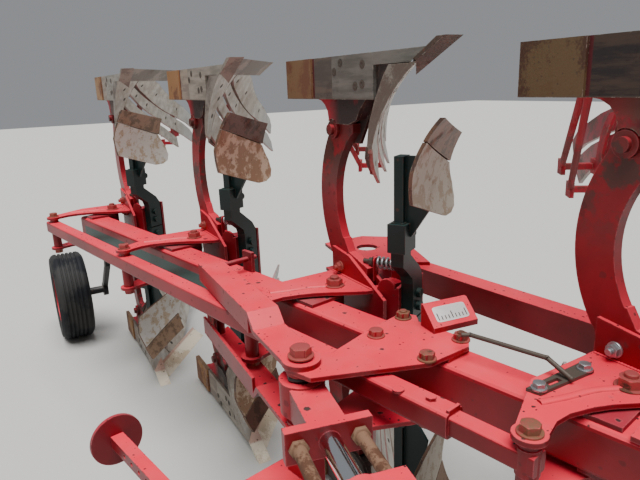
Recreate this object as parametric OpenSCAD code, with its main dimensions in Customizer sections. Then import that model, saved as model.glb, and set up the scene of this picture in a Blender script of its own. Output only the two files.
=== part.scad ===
/* [Beam] */
// Number of body pairs along the beam
body_count = 4; // [4]
// Distance between body pivots along the beam
body_pitch = 950; // [920:10:1000]
// Angle of the beam to the line of travel when swung in
beam_angle = 12.33; // [11:0.01:14]
// Height of the beam's middle above the ground
mid_h = 862; // [862]
// Outside width and height of the square beam
beam_w = 120; // [114:2:120]
// Wall of the square beam
beam_wall = 10; // [8:1:14]
// Distance of the beam's centreline from the line of body pivots
beam_off = 92; // [92:1:98]
// Length of the beam behind the last body pivot
beam_tail = 100; // [80:5:120]
// Distance from body pivot 1 forward to the swing pivot
swing_s = 365; // [350:5:380]
// Diameter of the swing pivot's pin
swing_d = 60; // [50:1:65]
// Thickness of the fork, carrier and bracket plates
plate_t = 12; // [10:1:12]

/* [Brackets] */
// Height of the bracket plates' inner faces above the beam's middle
bracket_z = 80; // [78:1:82]
// Length of the bracket crank from pivot to rod pin
crank = 315; // [305:5:320]
// Diameter of the body pivot bolts
pivot_d = 30; // [28:1:34]
// Diameter of the bosses that the pivot bolts turn in
boss_d = 62; // [58:1:62]
// Diameter of the rod pins
pin_d = 24; // [20:1:26]

/* [Parallel rod] */
// Width of the parallel rod's box section
rod_w = 62; // [56:1:66]
// Height of the parallel rod's box section
rod_h = 62; // [56:1:64]
// Height of the rod's middle above the beam's middle
rod_z = 32; // [28:1:34]
// Side of the inner tube that slides in the rod's front end
rod_inner = 46; // [40:1:48]

/* [Legs] */
// Thickness of the flat legs
leg_t = 30; // [26:1:32]
// Width of the flat legs
leg_w = 105; // [95:1:112]
// Sideways place of the legs' middle from the body pivot
leg_y = 110; // [108:1:112]
// Thickness of the clamp plates beside the legs
clamp_t = 12; // [10:1:12]

/* [Plough bodies] */
// Thickness of landside, share and moldboard slats
steel_t = 12; // [10:1:13]
// Height of the landside
landside_h = 135; // [125:1:140]
// Radius of the moldboard's curve
board_r = 430; // [410:5:450]
// Angle of the share's edge to the line of travel
share_angle = 38.2; // [37:0.1:40]

/* [Depth wheel] */
// Outside diameter of the depth wheel's tyre
tyre_d = 580; // [560:5:600]
// Width of the tyre
tyre_w = 200; // [180:5:205]
// Diameter of the wheel rim
rim_d = 390; // [360:5:400]

/* [Width cylinder] */
// Distance between the pins of the width cylinder
cyl_len = 760; // [740:5:780]
// Diameter of the width cylinder's chrome rod
chrome_d = 50; // [40:1:55]
// Diameter of the width cylinder's barrel
barrel_d = 90; // [80:1:100]
// Diameter of the threaded stop spindles
spindle_d = 30; // [24:1:34]

/* [Headstock] */
// Distance between the shoulders of the lower link pins
link_spread = 965; // [940:1:970]
// Diameter of the lower link pins
link_pin_d = 36.6; // [36.6]
// Height from lower link pins to top link hole
mast_h = 685; // [660:5:700]
// Diameter of the top link hole
top_hole_d = 32; // [30:1:34]
// Diameter of the turnover shaft
shaft_d = 120; // [110:1:130]

/* [Stand] */
// Side of the stand's square bar
stand_bar = 40; // [36:1:44]
// Diameter of the stand's foot disc
foot_d = 165; // [160:5:200]

/* [Hidden] */
$fn = 48;

// Where body pivot 1 stands in the part's frame, whose origin is on the ground under the machine's middle
base_x = 1227.9;
base_y = 130.6;
// Clearance between a turning pin and its hole, on the radius
run_gap = 0.05;
// Clearance between the faces of moving pieces at their pins
face_gap = 1;
eps = 0.01;

red = [0.72, 0.09, 0.12];
green = [0.03, 0.16, 0.13];
bare = [0.72, 0.66, 0.55];
rust = [0.42, 0.27, 0.18];
zinc = [0.62, 0.64, 0.66];
black = [0.06, 0.06, 0.07];
charcoal = [0.13, 0.12, 0.12];

function turned(p, a) = [p[0] * cos(a) - p[1] * sin(a), p[0] * sin(a) + p[1] * cos(a)];
function pivot_at(i) = turned([-body_pitch * (i - 1), 0], beam_angle);

beam_top = beam_w / 2;
beam_near = -beam_off - beam_top;
beam_far = -beam_off + beam_top;
beam_front = swing_s - 150;
beam_rear = -body_pitch * (body_count - 1) - beam_tail;
// Underside of the carrier plates, on pads over the beam
carrier_z = beam_top + 12;
arm_z = carrier_z + plate_t;
// The pin where brace arms, carrier plates and width cylinder meet, in beam axes
yoke_s = -616;
yoke_t = -428;
// Height of the raised rear part of the brace arms
arm_rise = 40;
arm_t = 14;

// Places things in the machine's own axes: body pivot 1 on the z axis, the beam's middle at zero
module machine() {
  translate([base_x, base_y, mid_h]) children();
}

// Places things in beam axes: first forwards along the beam, then square to it
module on_beam() {
  machine() rotate([0, 0, beam_angle]) children();
}

// Places things at body pivot i, in the line of travel
module at_pivot(i) {
  machine() translate([pivot_at(i)[0], pivot_at(i)[1], 0]) children();
}

// Repeats a piece above and below the beam's middle
module both_sides() {
  children();
  mirror([0, 0, 1]) children();
}

module rod_x(d, l) {
  rotate([0, 90, 0]) cylinder(d = d, h = l);
}

module rod_y(d, l) {
  rotate([-90, 0, 0]) cylinder(d = d, h = l);
}

module ring(d, hole, h) {
  difference() {
    cylinder(d = d, h = h);
    translate([0, 0, -1]) cylinder(d = hole, h = h + 2);
  }
}

// A bolt head or nut on a washer
module bolt_head(d) {
  cylinder(d = 2.2 * d, h = 4);
  cylinder(d = 1.8 * d, h = 4 + 0.7 * d, $fn = 6);
}

// A flat plate in the XZ plane, with its middle on y = 0
module plate_xz(t) {
  rotate([90, 0, 0]) translate([0, 0, -t / 2]) linear_extrude(t) children();
}

// Corners of a square tube's outline, each turned in three short flats
function tube_points(w, r) = [
  for (q = [0 : 3], k = [0 : 3])
    [sign(cos(90 * q + 45)), sign(sin(90 * q + 45))] * (w / 2 - r)
      + r * [cos(90 * q + 30 * k), sin(90 * q + 30 * k)]
];

// A square bar along x with rounded corners
module square_bar(w, r, l) {
  rotate([90, 0, 90]) linear_extrude(l) polygon(tube_points(w, r));
}

// A round bar between two points
module bar_between(a, b, d) {
  v = b - a;
  translate(a) rotate([0, acos(v[2] / norm(v)), atan2(v[1], v[0])]) rotate([0, 0, 100])
    cylinder(d = d, h = norm(v));
}

module beam() {
  color(red) on_beam() {
    translate([beam_rear, -beam_off, 0]) difference() {
      square_bar(beam_w, 1.4 * beam_wall, beam_front - beam_rear);
      translate([plate_t, 0, 0]) square_bar(beam_w - 2 * beam_wall, 0.5 * beam_wall, beam_front - beam_rear);
    }
    both_sides() front_fork();
    both_sides() carrier_pads();
  }
}

// One plate of the fork that carries the beam's front end on the swing pivot
module front_fork() {
  translate([0, 0, beam_top]) difference() {
    linear_extrude(plate_t) {
      translate([swing_s, -beam_off]) circle(d = 150);
      polygon([[swing_s, -beam_off + 75], [60, beam_far], [60, beam_near],
        [swing_s, -beam_off - 75]]);
    }
    translate([swing_s, -beam_off, -1]) cylinder(d = swing_d + 2 * run_gap, h = plate_t + 2);
  }
}

carrier_bolts = [[-589, -182], [-616, -36], [-406, -193], [-409, -44]];

module carrier_pads() {
  for (x = [-625, -430]) translate([x, beam_near + 15, beam_top - 1])
    cube([50, beam_w - 30, carrier_z - beam_top + 1]);
}

// The bosses on the beam's far side that the pivot bolts turn in, and their clamps
module beam_pivots() {
  color(red) for (i = [1 : body_count]) {
    at_pivot(i) translate([0, 0, -bracket_z + face_gap])
      ring(boss_d, pivot_d + 2 * run_gap, 2 * (bracket_z - face_gap));
    on_beam() translate([-body_pitch * (i - 1), 0, 0]) both_sides() difference() {
      translate([-40, beam_near + 15, beam_top]) cube([80, -beam_near - 15, plate_t]);
      translate([0, 0, -1]) cylinder(d = boss_d - 1, h = 200);
    }
  }
}

module carrier_plates() {
  color(red) on_beam() both_sides() {
    translate([0, 0, carrier_z]) difference() {
      linear_extrude(plate_t) {
        translate([yoke_s, yoke_t]) circle(d = 88);
        polygon([[yoke_s - 42, yoke_t + 12], [-603, -331], [-630, -177], [-645, -10], [-600, 4],
          [-566, -26], [-396, -26], [-372, -61], [-386, -200], [-542, -462], [yoke_s + 5, yoke_t - 43.5]]);
      }
      translate([yoke_s, yoke_t, -1]) cylinder(d = 50, h = plate_t + 2);
    }
    for (b = carrier_bolts) translate([b[0], b[1], arm_z]) bolt_head(22);
  }
}

// Length of a brace arm and its angle to the beam
brace_end = [-1345, -230];
brace_l = norm(brace_end - [yoke_s, yoke_t]);
brace_angle = atan2(brace_end[1] - yoke_t, brace_end[0] - yoke_s) - 180;

// Places things in the brace arm's axes: from the yoke pin towards the rear along -x
module on_brace() {
  on_beam() translate([yoke_s, yoke_t, 0]) rotate([0, 0, brace_angle]) children();
}

module brace_arms() {
  color(red) on_brace() {
    both_sides() translate([0, 0, arm_z]) {
      difference() {
        linear_extrude(arm_t) {
          circle(d = 100);
          translate([-230, -48]) square([230, 96]);
        }
        translate([0, 0, -1]) cylinder(d = 50, h = arm_t + 2);
      }
      plate_xz_at(48, 96) polygon([[-230, 0], [-218, arm_t], [-262, arm_rise + arm_t], [-274, arm_rise],
        [-262, arm_rise], [-230, 0]]);
      translate([0, 0, arm_rise]) linear_extrude(arm_t)
        polygon([[-262, -48], [-262, 48], [-brace_l - 25, 40], [-brace_l + 5, 0], [-brace_l - 40, -30],
          [-brace_l - 40, -48]]);
      translate([-brace_l - 40, -48, -12]) cube([brace_l - 222, 10, arm_rise + 12 + eps]);
    }
    translate([-brace_l + 20, 0, -arm_z - arm_rise]) cylinder(d = 30, h = 2 * (arm_z + arm_rise));
    cylinder(d = 50, h = 2 * (arm_z + arm_t + 6), center = true);
    translate([0, 0, arm_z + arm_t + 6]) bolt_head(30);
    both_sides() translate([0, 0, 60]) ring(78, 50 - eps, carrier_z - 60);
  }
}

module plate_xz_at(y, t) {
  translate([0, y, 0]) rotate([90, 0, 0]) linear_extrude(t) children();
}

module brace_adjuster() {
  color(rust) on_beam() {
    translate([-1414, -60, beam_top]) cube([60, 14, 80]);
    translate([-1384, -256, beam_top + 50]) rod_y(20, 236);
  }
}

// One pressed plate of a body bracket, seen from above, with the pivot at zero
module bracket_outline() {
  translate([0, -crank]) circle(d = 72);
  polygon([[-36, -crank], [-116, -187], [-140, -150], [-152, leg_y - leg_t / 2], [112, leg_y - leg_t / 2],
    [108, 60], [80, 10], [49, -42], [24, -92], [8, -140], [-2, -195], [2, -240], [30, -crank + 12],
    [30, -crank]]);
}

clamp_far = leg_y + leg_t / 2;

module bracket(i) {
  color(red) at_pivot(i) {
    both_sides() {
      translate([0, 0, bracket_z]) linear_extrude(plate_t) bracket_outline();
      translate([0, 0, bracket_z + plate_t]) bolt_head(pivot_d);
      translate([0, -crank, bracket_z + plate_t]) bolt_head(pin_d);
    }
    cylinder(d = pivot_d, h = 2 * bracket_z + 1, center = true);
    translate([0, -crank, 0]) cylinder(d = pin_d, h = 2 * bracket_z + 1, center = true);
    translate([0, -crank, rod_z + rod_h / 2 + face_gap]) cylinder(d = 44, h = bracket_z - rod_z - rod_h / 2);
    translate([0, -crank, -bracket_z - 1]) cylinder(d = 44, h = bracket_z + rod_z - rod_h / 2);
    for (y = [leg_y - leg_t / 2 - clamp_t / 2, clamp_far + clamp_t / 2])
      translate([0, y, 0]) plate_xz(clamp_t) clamp_outline();
    translate([75, leg_y - leg_t / 2 - 1, -90]) cube([50, leg_t + 2, 180]);
    both_sides() for (p = clamp_bolts)
      translate([p[0], leg_y - leg_t / 2 - clamp_t - 16, p[1]]) rod_y(clamp_bolt_d, leg_t + 2 * clamp_t + 32);
    skimmer_holder();
  }
}

clamp_bolts = [[-95, 120], [-20, 60]];
clamp_bolt_d = 22;

module clamp_outline() {
  polygon([[-150, -185], [-40, -172], [168, -72], [168, 72], [-40, 172], [-150, 185]]);
}

holder_h = 135;

// Angle of a skimmer's edge to the line of travel
skimmer_turn = 120;
// The holder's web, square to the skimmer's face, and the seat left between fixed pieces
holder_n = 228;
seat = 0.3;

// Places things square to a skimmer: first away from its wing, then forwards
module on_stalk() {
  rotate([0, 0, skimmer_turn - 180]) children();
}

// The block and flanges beside the clamps that carry the skimmer arms
module skimmer_holder() {
  translate([60, clamp_far + 6, -100]) cube([60, 70, 200]);
  on_stalk() {
    translate([-147, holder_n - 12, -110]) cube([127, 12, 220]);
    translate([-147, 150, -130]) cube([12, 112, 260]);
    translate([-32, 150, -holder_h + 30]) cube([12, 66, 2 * holder_h - 60]);
    for (z = [30 - holder_h, holder_h - 30]) translate([-32, 183, z]) rod_x(60, 12);
  }
}

// The bow of a leg, in x and z from the pivot
bow_x = 145;
bow_z = 371;
bow_r = 330;
leg_top = 626;
// The boss on the leg's near face, in x and z
leg_boss = [-125, 605];
leg_boss_d = 64;
// The landside's outer face, sideways from the body pivot
landside_y = 69;
// The frog plate lies between leg and landside
frog_t = leg_y - leg_t / 2 - landside_y - steel_t;
board_back = landside_y + steel_t;

module leg_outline() {
  intersection() {
    translate([bow_x, bow_z]) difference() {
      circle(r = bow_r + leg_w / 2, $fn = 96);
      circle(r = bow_r - leg_w / 2, $fn = 96);
    }
    translate([-400, 150]) square([385, leg_top - 150]);
  }
  polygon([[-150, 110], [50, 110], [60, 150], [-57, 181], [-85, 226], [-208, 226], [-165, 150]]);
  polygon([[-130, 20], [50, 20], [50, 112], [-150, 112]]);
}

// Places things at the share's point: first along the edge to the wing, then forwards, then up from the soil
module at_share() {
  translate([458, landside_y, -mid_h]) rotate([0, 0, 180 - share_angle]) mirror([0, 1, 0]) children();
}

// The moldboard's face starts at the back of the share, here below and ahead of its axis
board_y = board_r * sin(38) - 40;
board_h = board_r * cos(38) + 30;

// A lying cylinder about the axis of the moldboard's curve
module board_tube(r) {
  translate([-300, board_y, board_h]) rotate([0, 90, 0]) cylinder(r = r, h = 1800, $fn = 120);
}

// Back of the share's section, as places ahead of its edge and heights
share_back = [[-24, 0], [-47, 20], [-80, 48]];

// Draws an outline out along the share's edge, between two places on it
module along_share(from, to) {
  translate([from, 0, 0]) rotate([90, 0, 90]) linear_extrude(to - from) children();
}

// All that lies on the soil side of the moldboard's and share's backs
module soil_side() {
  at_share() {
    board_tube(board_r + steel_t);
    along_share(-300, 1500)
      polygon(concat([[400, -60], [-24, -60]], share_back, [[-72, 57], [0, 120], [400, 120]]));
  }
}

// The frog's near plate, the core below the leg and the cheek on the leg's far side, in x and depth
frog_low = mid_h - 24;
frog_plate = [[-221, 706], [-195, 702], [-170, 688], [-152, 666], [-146, 640], [-150, 625], [-20, 625],
  [26, 640], [49, 674], [84, 706], [458, 706], [458, frog_low], [-221, frog_low]];
frog_core = [[-140, leg_top + 14], [16, leg_top + 14], [84, 706], [84, frog_low], [-140, frog_low]];
frog_cheek = [[-190, 560], [-20, 560], [30, 640], [84, 720], [84, frog_low], [-150, frog_low]];
// The lugs at the slats' tails that the two stays hold, in the share's axes, and the stays' ends at the heel
stay_lugs = [[1092, -323, 397], [1036, -306, 463]];
stay_heels = [[-262, 118, 117 - mid_h], [-243, 110, 132 - mid_h]];

function from_share(p) = [458 - cos(share_angle) * p[0] + sin(share_angle) * p[1],
  landside_y + sin(share_angle) * p[0] + cos(share_angle) * p[1], p[2] - mid_h];

module legs(i) {
  color(red) at_pivot(i) both_sides() {
    translate([0, leg_y, 0]) difference() {
      plate_xz(leg_t) leg_outline();
      for (p = clamp_bolts) translate([p[0], -leg_t, p[1]]) rod_y(clamp_bolt_d, 2 * leg_t);
    }
    translate([leg_boss[0], board_back, leg_boss[1]]) rod_y(leg_boss_d, frog_t + 1);
    translate([leg_boss[0], board_back - 13, leg_boss[1]]) rod_y(36, 14);
  }
}

// The frog plate and the curved strips behind the slats, which are bolted to it
module frogs(i) {
  color(charcoal) at_pivot(i) both_sides() {
    difference() {
      union() {
        mirror([0, 0, 1]) {
          translate([0, board_back + frog_t / 2, 0]) difference() {
            plate_xz(frog_t) polygon(frog_plate);
            translate([leg_boss[0], -50, leg_boss[1]]) rod_y(leg_boss_d + 8, 100);
          }
          translate([0, leg_y, 0]) plate_xz(leg_t + 1) polygon(frog_core);
          translate([0, clamp_far + 6, 0]) plate_xz(12) polygon(frog_cheek);
        }
        translate([-285, board_back, 105 - mid_h]) cube([75, 60, 50]);
        for (k = [0, 1]) {
          bar_between(stay_heels[k], from_share(stay_lugs[k]), 20);
          at_share() translate(stay_lugs[k]) {
            translate([-12, 0, -10]) cube([24, 120, 20]);
            translate([-25, -7, -25]) cube([50, 14, 50]);
          }
        }
      }
      soil_side();
    }
    intersection() {
      at_share() difference() {
        board_tube(board_r + 2 * steel_t);
        board_tube(board_r + steel_t);
      }
      at_share() rotate([90, 0, 0]) linear_extrude(900, center = true) for (s = strips) polygon(s);
      translate([-900, board_back, -mid_h]) cube([1500, 800, 600]);
    }
  }
}

// Strips behind the moldboard: places along the share's edge and heights
strips = [
  [[100, 75], [330, 75], [780, 165], [780, 205], [330, 135], [100, 150]],
  [[180, 140], [262, 140], [300, 300], [560, 385], [560, 430], [240, 310]],
  [[480, 100], [530, 110], [560, 420], [510, 420]],
  [[1000, 215], [1050, 225], [1060, 372], [1112, 372], [1112, 422], [1064, 422], [1060, 470], [1010, 470]]
];

// The shin and the slats of a moldboard: places along the share's edge and heights
shin = [[-20, 57.3], [288, 57.3], [292, 113], [290, 160], [282, 200], [276, 250], [272, 318], [224, 298],
  [-20, 298]];
slats = [
  [[298, 57.3], [500, 57.3], [593, 75], [741, 118], [945, 177], [1160, 232], [1340, 300], [1392, 345],
    [1365, 392], [1240, 342], [1055, 290], [856, 243], [643, 182], [495, 135], [385, 104], [300, 74]],
  [[296, 90], [406, 122], [558, 165], [772, 226], [967, 278], [1160, 336], [1290, 390], [1345, 440],
    [1327, 496], [1183, 432], [1028, 377], [872, 326], [729, 273], [633, 243], [505, 201], [385, 157],
    [294, 123]],
  [[292, 142], [414, 188], [560, 238], [704, 292], [868, 350], [1040, 428], [1025, 491], [860, 412],
    [703, 348], [560, 292], [420, 238], [286, 184]],
  [[284, 203], [420, 257], [560, 312], [660, 352], [590, 466], [440, 395], [274, 300]]
];
// The shin's near face, and the flank behind its edge in x and depth
shin_y = 52;
shin_flank = [[420, mid_h - 59], [240, mid_h - 59], [212, 770], [172, 706], [139, 633], [128, 566],
  [300, 566]];

module moldboards(i) {
  color(bare) at_pivot(i) both_sides() {
    intersection() {
      at_share() difference() {
        board_tube(board_r + steel_t);
        board_tube(board_r);
      }
      translate([-900, shin_y, -mid_h - 1]) cube([1500, 900, 520]);
      at_share() rotate([90, 0, 0]) linear_extrude(900, center = true) {
        polygon(shin);
        for (s = slats) polygon(s);
      }
    }
    difference() {
      mirror([0, 0, 1]) plate_xz_at(landside_y - seat, landside_y - seat - shin_y - 1) polygon(shin_flank);
      at_share() board_tube(board_r + steel_t / 2);
    }
  }
}

// The share's point is a bar with these near and far faces
point_near = 62;
point_far = 120;
share_wing = 670;

module shares(i) {
  color(rust) at_pivot(i) both_sides() {
    intersection() {
      at_share() along_share(115, share_wing) polygon(concat(share_back, [[-72, 57], [-40, 30], [0, 0]]));
      translate([-900, point_far + seat, -mid_h - 1]) cube([1500, 700, 520]);
    }
    intersection() {
      translate([0, (point_near + point_far) / 2, -mid_h]) plate_xz(point_far - point_near)
        polygon([[462, 0], [350, 0], [250, 20], [250, 103.4]]);
      at_share() along_share(-300, 700)
        polygon(concat([[400, -60], [-24, -60]], share_back, [[-71.4, 57], [-71.4, 130], [400, 130]]));
    }
  }
}

// The landside's plates: where each starts, ends, how much it stands out and how high it is
landside_plates = [
  [-416, -226, 8, landside_h],
  [-226, -96, 0, landside_h],
  [-96, 142, 0, landside_h],
  [142, 458, 0, 35]
];

module landsides(i) {
  color(bare) at_pivot(i) both_sides() difference() {
    for (p = landside_plates) translate([p[0], landside_y - p[2], 21 - mid_h])
      cube([p[1] - p[0] - seat, steel_t + p[2], p[3]]);
    soil_side();
  }
}

skimmer_r = 300;
skimmer_h = 668;
// A skimmer arm's outline: across and down from the beam's middle
skimmer_arm = [[-117, 3], [-37, 3], [-37, 125], [-28, 150], [45, 205], [45, 345], [-15, 345], [-15, 232],
  [-95, 170], [-117, 135]];

// Places things at a skimmer's point: along its edge, then forwards, then up from the point
module at_skimmer() {
  translate([497, 39, -skimmer_h]) rotate([0, 0, skimmer_turn]) mirror([0, 1, 0]) children();
}

module skimmer_tube(r) {
  translate([-300, skimmer_r * sin(45), skimmer_r * cos(45)]) rotate([0, 90, 0])
    cylinder(r = r, h = 1000, $fn = 96);
}

module skimmer_stalks(i) {
  color(green) at_pivot(i) both_sides() difference() {
    on_stalk() mirror([0, 0, 1]) {
      plate_xz_at(270, 270 - holder_n - seat) polygon(skimmer_arm);
      translate([-28, 222, 252]) cube([86, 58, 90]);
      translate([-10, 236, 340]) cube([50, 30, 205]);
      translate([9, 0, 0]) rotate([90, 0, 90]) linear_extrude(12)
        polygon([[264, 300], [264, 545], [362, 545], [362, 420], [285, 300]]);
      translate([-46, 261, 297]) rod_x(30, 20);
      for (z = [40, 85]) translate([-77, 268, z]) rod_y(32, 16);
    }
    at_skimmer() skimmer_tube(skimmer_r + 20);
  }
}

// The blade, the spade-shaped board above it and the plate behind both
skimmer_outlines = [
  [[-5, 0], [290, 62], [290, 146], [-5, 58]],
  [[-2, 62], [285, 150], [335, 220], [345, 262], [330, 290], [290, 304], [240, 304], [10, 228], [-12, 140]]
];

module skimmer_part(inner, outer) {
  intersection() {
    at_skimmer() difference() {
      skimmer_tube(outer);
      skimmer_tube(inner);
    }
    at_skimmer() rotate([90, 0, 0]) linear_extrude(500, center = true) children();
  }
}

module skimmer_blades(i) {
  color(bare) at_pivot(i) both_sides() {
    skimmer_part(skimmer_r, skimmer_r + 10) for (p = skimmer_outlines) polygon(p);
    skimmer_part(skimmer_r + 10 - eps, skimmer_r + 20) polygon([[90, 50], [285, 90], [300, 240], [120, 200]]);
  }
}

// Where the rod's wide sleeve ends and its inner tube begins, along the rod from its front pin
sleeve_end = -173;
inner_start = -300;
// Half length of the solid blocks round the rod's pins
pin_block = 45;

module parallel_rod() {
  last = -body_pitch * (body_count - 1);
  color(red) machine() translate([0, -crank, rod_z]) rotate([0, 0, beam_angle]) difference() {
    union() {
      translate([last - pin_block, 0, 0]) square_bar(rod_w, 10, sleeve_end - last + pin_block);
      translate([inner_start, 0, 0]) square_bar(rod_inner, 6, 24 - inner_start);
      cylinder(d = rod_inner + 4, h = rod_h, center = true);
      translate([sleeve_end - 8, -rod_w / 2 + 10, rod_w / 2 - 1]) cube([8, rod_w - 20, 8]);
      translate([-237, 0, rod_w / 2 - 1]) cylinder(d = 26, h = 9, $fn = 6);
      translate([-314, -rod_w / 2 + 8, rod_w / 2 - 1]) cylinder(d = 28, h = 6);
    }
    for (i = [1 : body_count]) translate([-body_pitch * (i - 1), 0, -200])
      cylinder(d = pin_d + 2 * run_gap, h = 400);
    for (i = [1 : body_count - 1]) translate([-body_pitch * i + pin_block, 0, 0])
      square_bar(rod_inner, 4, (i == 1 ? body_pitch + inner_start : body_pitch - pin_block) - pin_block);
    translate([inner_start - 1, 0, 0]) square_bar(rod_inner - 12, 4, -inner_start + 1 - pin_block);
  }
}

wheel_x = -3367;
wheel_y = -858;
axle_z = tyre_d / 2 - mid_h;
// The wheel arm's hinge from body pivot 4, and the half length of its hub
wheel_hinge = [-250, -60];
wheel_hub = 30;
hinge_xy = pivot_at(4) + wheel_hinge;

module wheel_bracket() {
  color(red) at_pivot(4) translate([wheel_hinge[0], wheel_hinge[1] + wheel_hub, 0]) {
    for (y = [-wheel_hub - 5 - 12, wheel_hub + 5]) translate([0, y + 6, 0]) plate_xz(12)
      polygon([[-45, -30], [-45, 30], [60, bracket_z], [125, bracket_z], [125, -bracket_z],
        [60, -bracket_z]]);
    translate([113, -wheel_hub - 6, -bracket_z]) cube([12, 2 * wheel_hub + 12, 2 * bracket_z]);
    translate([0, -wheel_hub - 22, 0]) rod_y(40, 2 * wheel_hub + 44);
  }
}

module wheel_arm() {
  drop = [wheel_x - hinge_xy[0], axle_z];
  color(black) machine() {
    translate([hinge_xy[0], hinge_xy[1], 0]) difference() {
      union() {
        rod_y(70, 2 * wheel_hub);
        translate([0, wheel_hub, 0]) plate_xz(30) {
          circle(d = 66);
          translate(drop) circle(d = 90);
          polygon([[28, 0], [30, -150], [-40, -330], drop + [30, 20], drop + [-20, 30], [-110, -340],
            [-40, -160], [-28, 0]]);
        }
      }
      translate([0, -1, 0]) rod_y(40 + 2 * run_gap, 2 * wheel_hub + 2);
    }
    translate([wheel_x, wheel_y + 10, axle_z]) rod_y(50, hinge_xy[1] - wheel_y + 10);
  }
}

module wheel_rim() {
  color(red) machine() translate([wheel_x, wheel_y, axle_z]) rotate([-90, 0, 0]) difference() {
    union() {
      translate([0, 0, 10 - tyre_w / 2]) ring(rim_d, rim_d - 16, tyre_w - 20);
      translate([0, 0, -5]) cylinder(d = rim_d - 8, h = 10);
      translate([0, 0, -25]) cylinder(d = 110, h = 95);
    }
    translate([0, 0, 5]) cylinder(d = 50 + 2 * run_gap, h = 400);
  }
}

module tyre() {
  r = tyre_d / 2;
  w = tyre_w / 2;
  color(black) machine() translate([wheel_x, wheel_y, axle_z]) rotate([90, 0, 0])
    rotate_extrude($fn = 96) polygon(concat(
      [[rim_d / 2, -w + 8], [r - 60, -w], [r - 28, -w], [r - 9, -w + 13], [r, -w + 28]],
      [for (y = [-50 : 25 : 50], g = [[0, -6], [-8, -3], [-8, 3], [0, 6]]) [r + g[0], y + g[1]]],
      [[r, w - 28], [r - 9, w - 13], [r - 28, w], [r - 60, w], [rim_d / 2, w - 8]]));
}

cyl_angle = -11.6;
yoke_xy = turned([yoke_s, yoke_t], beam_angle);

// Places things in the width cylinder's axes, from the yoke pin forwards
module on_cylinder() {
  machine() translate([yoke_xy[0], yoke_xy[1], 0]) rotate([0, 0, cyl_angle]) children();
}

yoke_gap = 12;
spindle_y = 72;

module width_yoke() {
  color(red) on_cylinder() difference() {
    union() {
      translate([0, 0, -45]) cylinder(d = 118, h = 90);
      translate([45, -45, -40]) cube([155, 90, 80]);
      translate([190, -spindle_y - 30, -40]) cube([26, 2 * spindle_y + 60, 80]);
    }
    translate([0, 0, -50]) cylinder(d = 50 + 2 * yoke_gap, h = 100);
  }
  color(zinc) on_cylinder() translate([210, 0, 0]) rod_x(chrome_d, 305);
  color(rust) on_cylinder() for (y = [-spindle_y, spindle_y]) translate([170, y, 0]) rod_x(spindle_d, 300);
}

barrel_start = 395;

module width_barrel() {
  color(red) on_cylinder() difference() {
    union() {
      translate([barrel_start, 0, 0]) rod_x(barrel_d, cyl_len - barrel_start - 60);
      translate([barrel_start, -spindle_y - 24, -40]) cube([60, 2 * spindle_y + 48, 80]);
      translate([cyl_len - 70, -25, -35]) cube([70, 50, 70]);
      translate([cyl_len, 0, -35]) cylinder(d = 70, h = 70);
    }
    translate([barrel_start - 10, 0, 0]) rod_x(chrome_d + 2 * run_gap, cyl_len - barrel_start - 70);
    for (y = [-spindle_y, spindle_y]) translate([barrel_start - 10, y, 0]) rod_x(spindle_d + 2, 100);
    translate([cyl_len, 0, -50]) cylinder(d = 40 + 2 * run_gap, h = 100);
  }
}

swing_xy = turned([swing_s, -beam_off], beam_angle);
block_x = swing_xy[0] + 160;
press_xy = [block_x - 90, 435];
press_angle = 6.5;
block_wall = 12;
cyl_base = yoke_xy + turned([cyl_len, 0], cyl_angle);
turn_y = -190;

module carriage() {
  color(red) machine() {
    both_sides() translate([0, 0, beam_top + plate_t + 5]) linear_extrude(20) {
      translate(swing_xy) circle(d = 220);
      polygon([[swing_xy[0] - 30, swing_xy[1] + 105], [block_x + 130, 180], [block_x + 130, -420],
        [block_x - 20, -420], [swing_xy[0] - 60, swing_xy[1] - 92]]);
    }
    translate([swing_xy[0], swing_xy[1], 0])
      cylinder(d = swing_d, h = 2 * (beam_top + plate_t + 6), center = true);
    difference() {
      translate([block_x, -800, -beam_top - plate_t - 6]) cube([130, 1180, 2 * (beam_top + plate_t + 6)]);
      translate([block_x + block_wall, block_wall - 800, -beam_top - plate_t - 6 + block_wall])
        cube([130 - 2 * block_wall, 1180, 2 * (beam_top + plate_t + 6 - block_wall)]);
    }
    both_sides() translate([0, 0, 40]) linear_extrude(20) {
      translate(cyl_base) circle(d = 100);
      polygon([[cyl_base[0] - 20, cyl_base[1] - 46], [block_x + 10, -790], [block_x + 10, -640],
        [cyl_base[0] - 20, cyl_base[1] + 46]]);
    }
    translate([cyl_base[0], cyl_base[1], 0]) cylinder(d = 40, h = 120, center = true);
    both_sides() translate([0, 0, 70]) linear_extrude(14) {
      translate(press_xy) circle(d = 110);
      polygon([[press_xy[0] - 10, press_xy[1] - 54], [block_x + 10, press_xy[1] - 190],
        [block_x + 10, press_xy[1] - 57], [press_xy[0] + 10, press_xy[1] + 54]]);
    }
    translate([press_xy[0], press_xy[1], 0]) cylinder(d = 40, h = 160, center = true);
  }
}

shaft_x = block_x + 130;
housing_x = shaft_x + 40;
housing_l = 280;

module turnover_shaft() {
  color(red) machine() translate([shaft_x, turn_y, 0]) {
    rod_x(240, 30);
    rod_x(shaft_d, 40 + housing_l + 40);
    translate([40 + housing_l + 10, -60, -60]) cube([30, 120 + crank_r - 40, 120]);
  }
}

crank_r = 110;
crank_x = housing_x + housing_l + 40;
base_eye_x = crank_x + 30;

module bearing_housing() {
  color(red) machine() translate([housing_x, turn_y, 0]) difference() {
    rod_x(shaft_d + 60, housing_l);
    translate([-1, 0, 0]) rod_x(shaft_d + 2 * run_gap, housing_l + 2);
  }
}

link_z = -360;
link_x = housing_x + housing_l + 60;
top_x = link_x + 110;
mast_y = 172;

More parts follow.
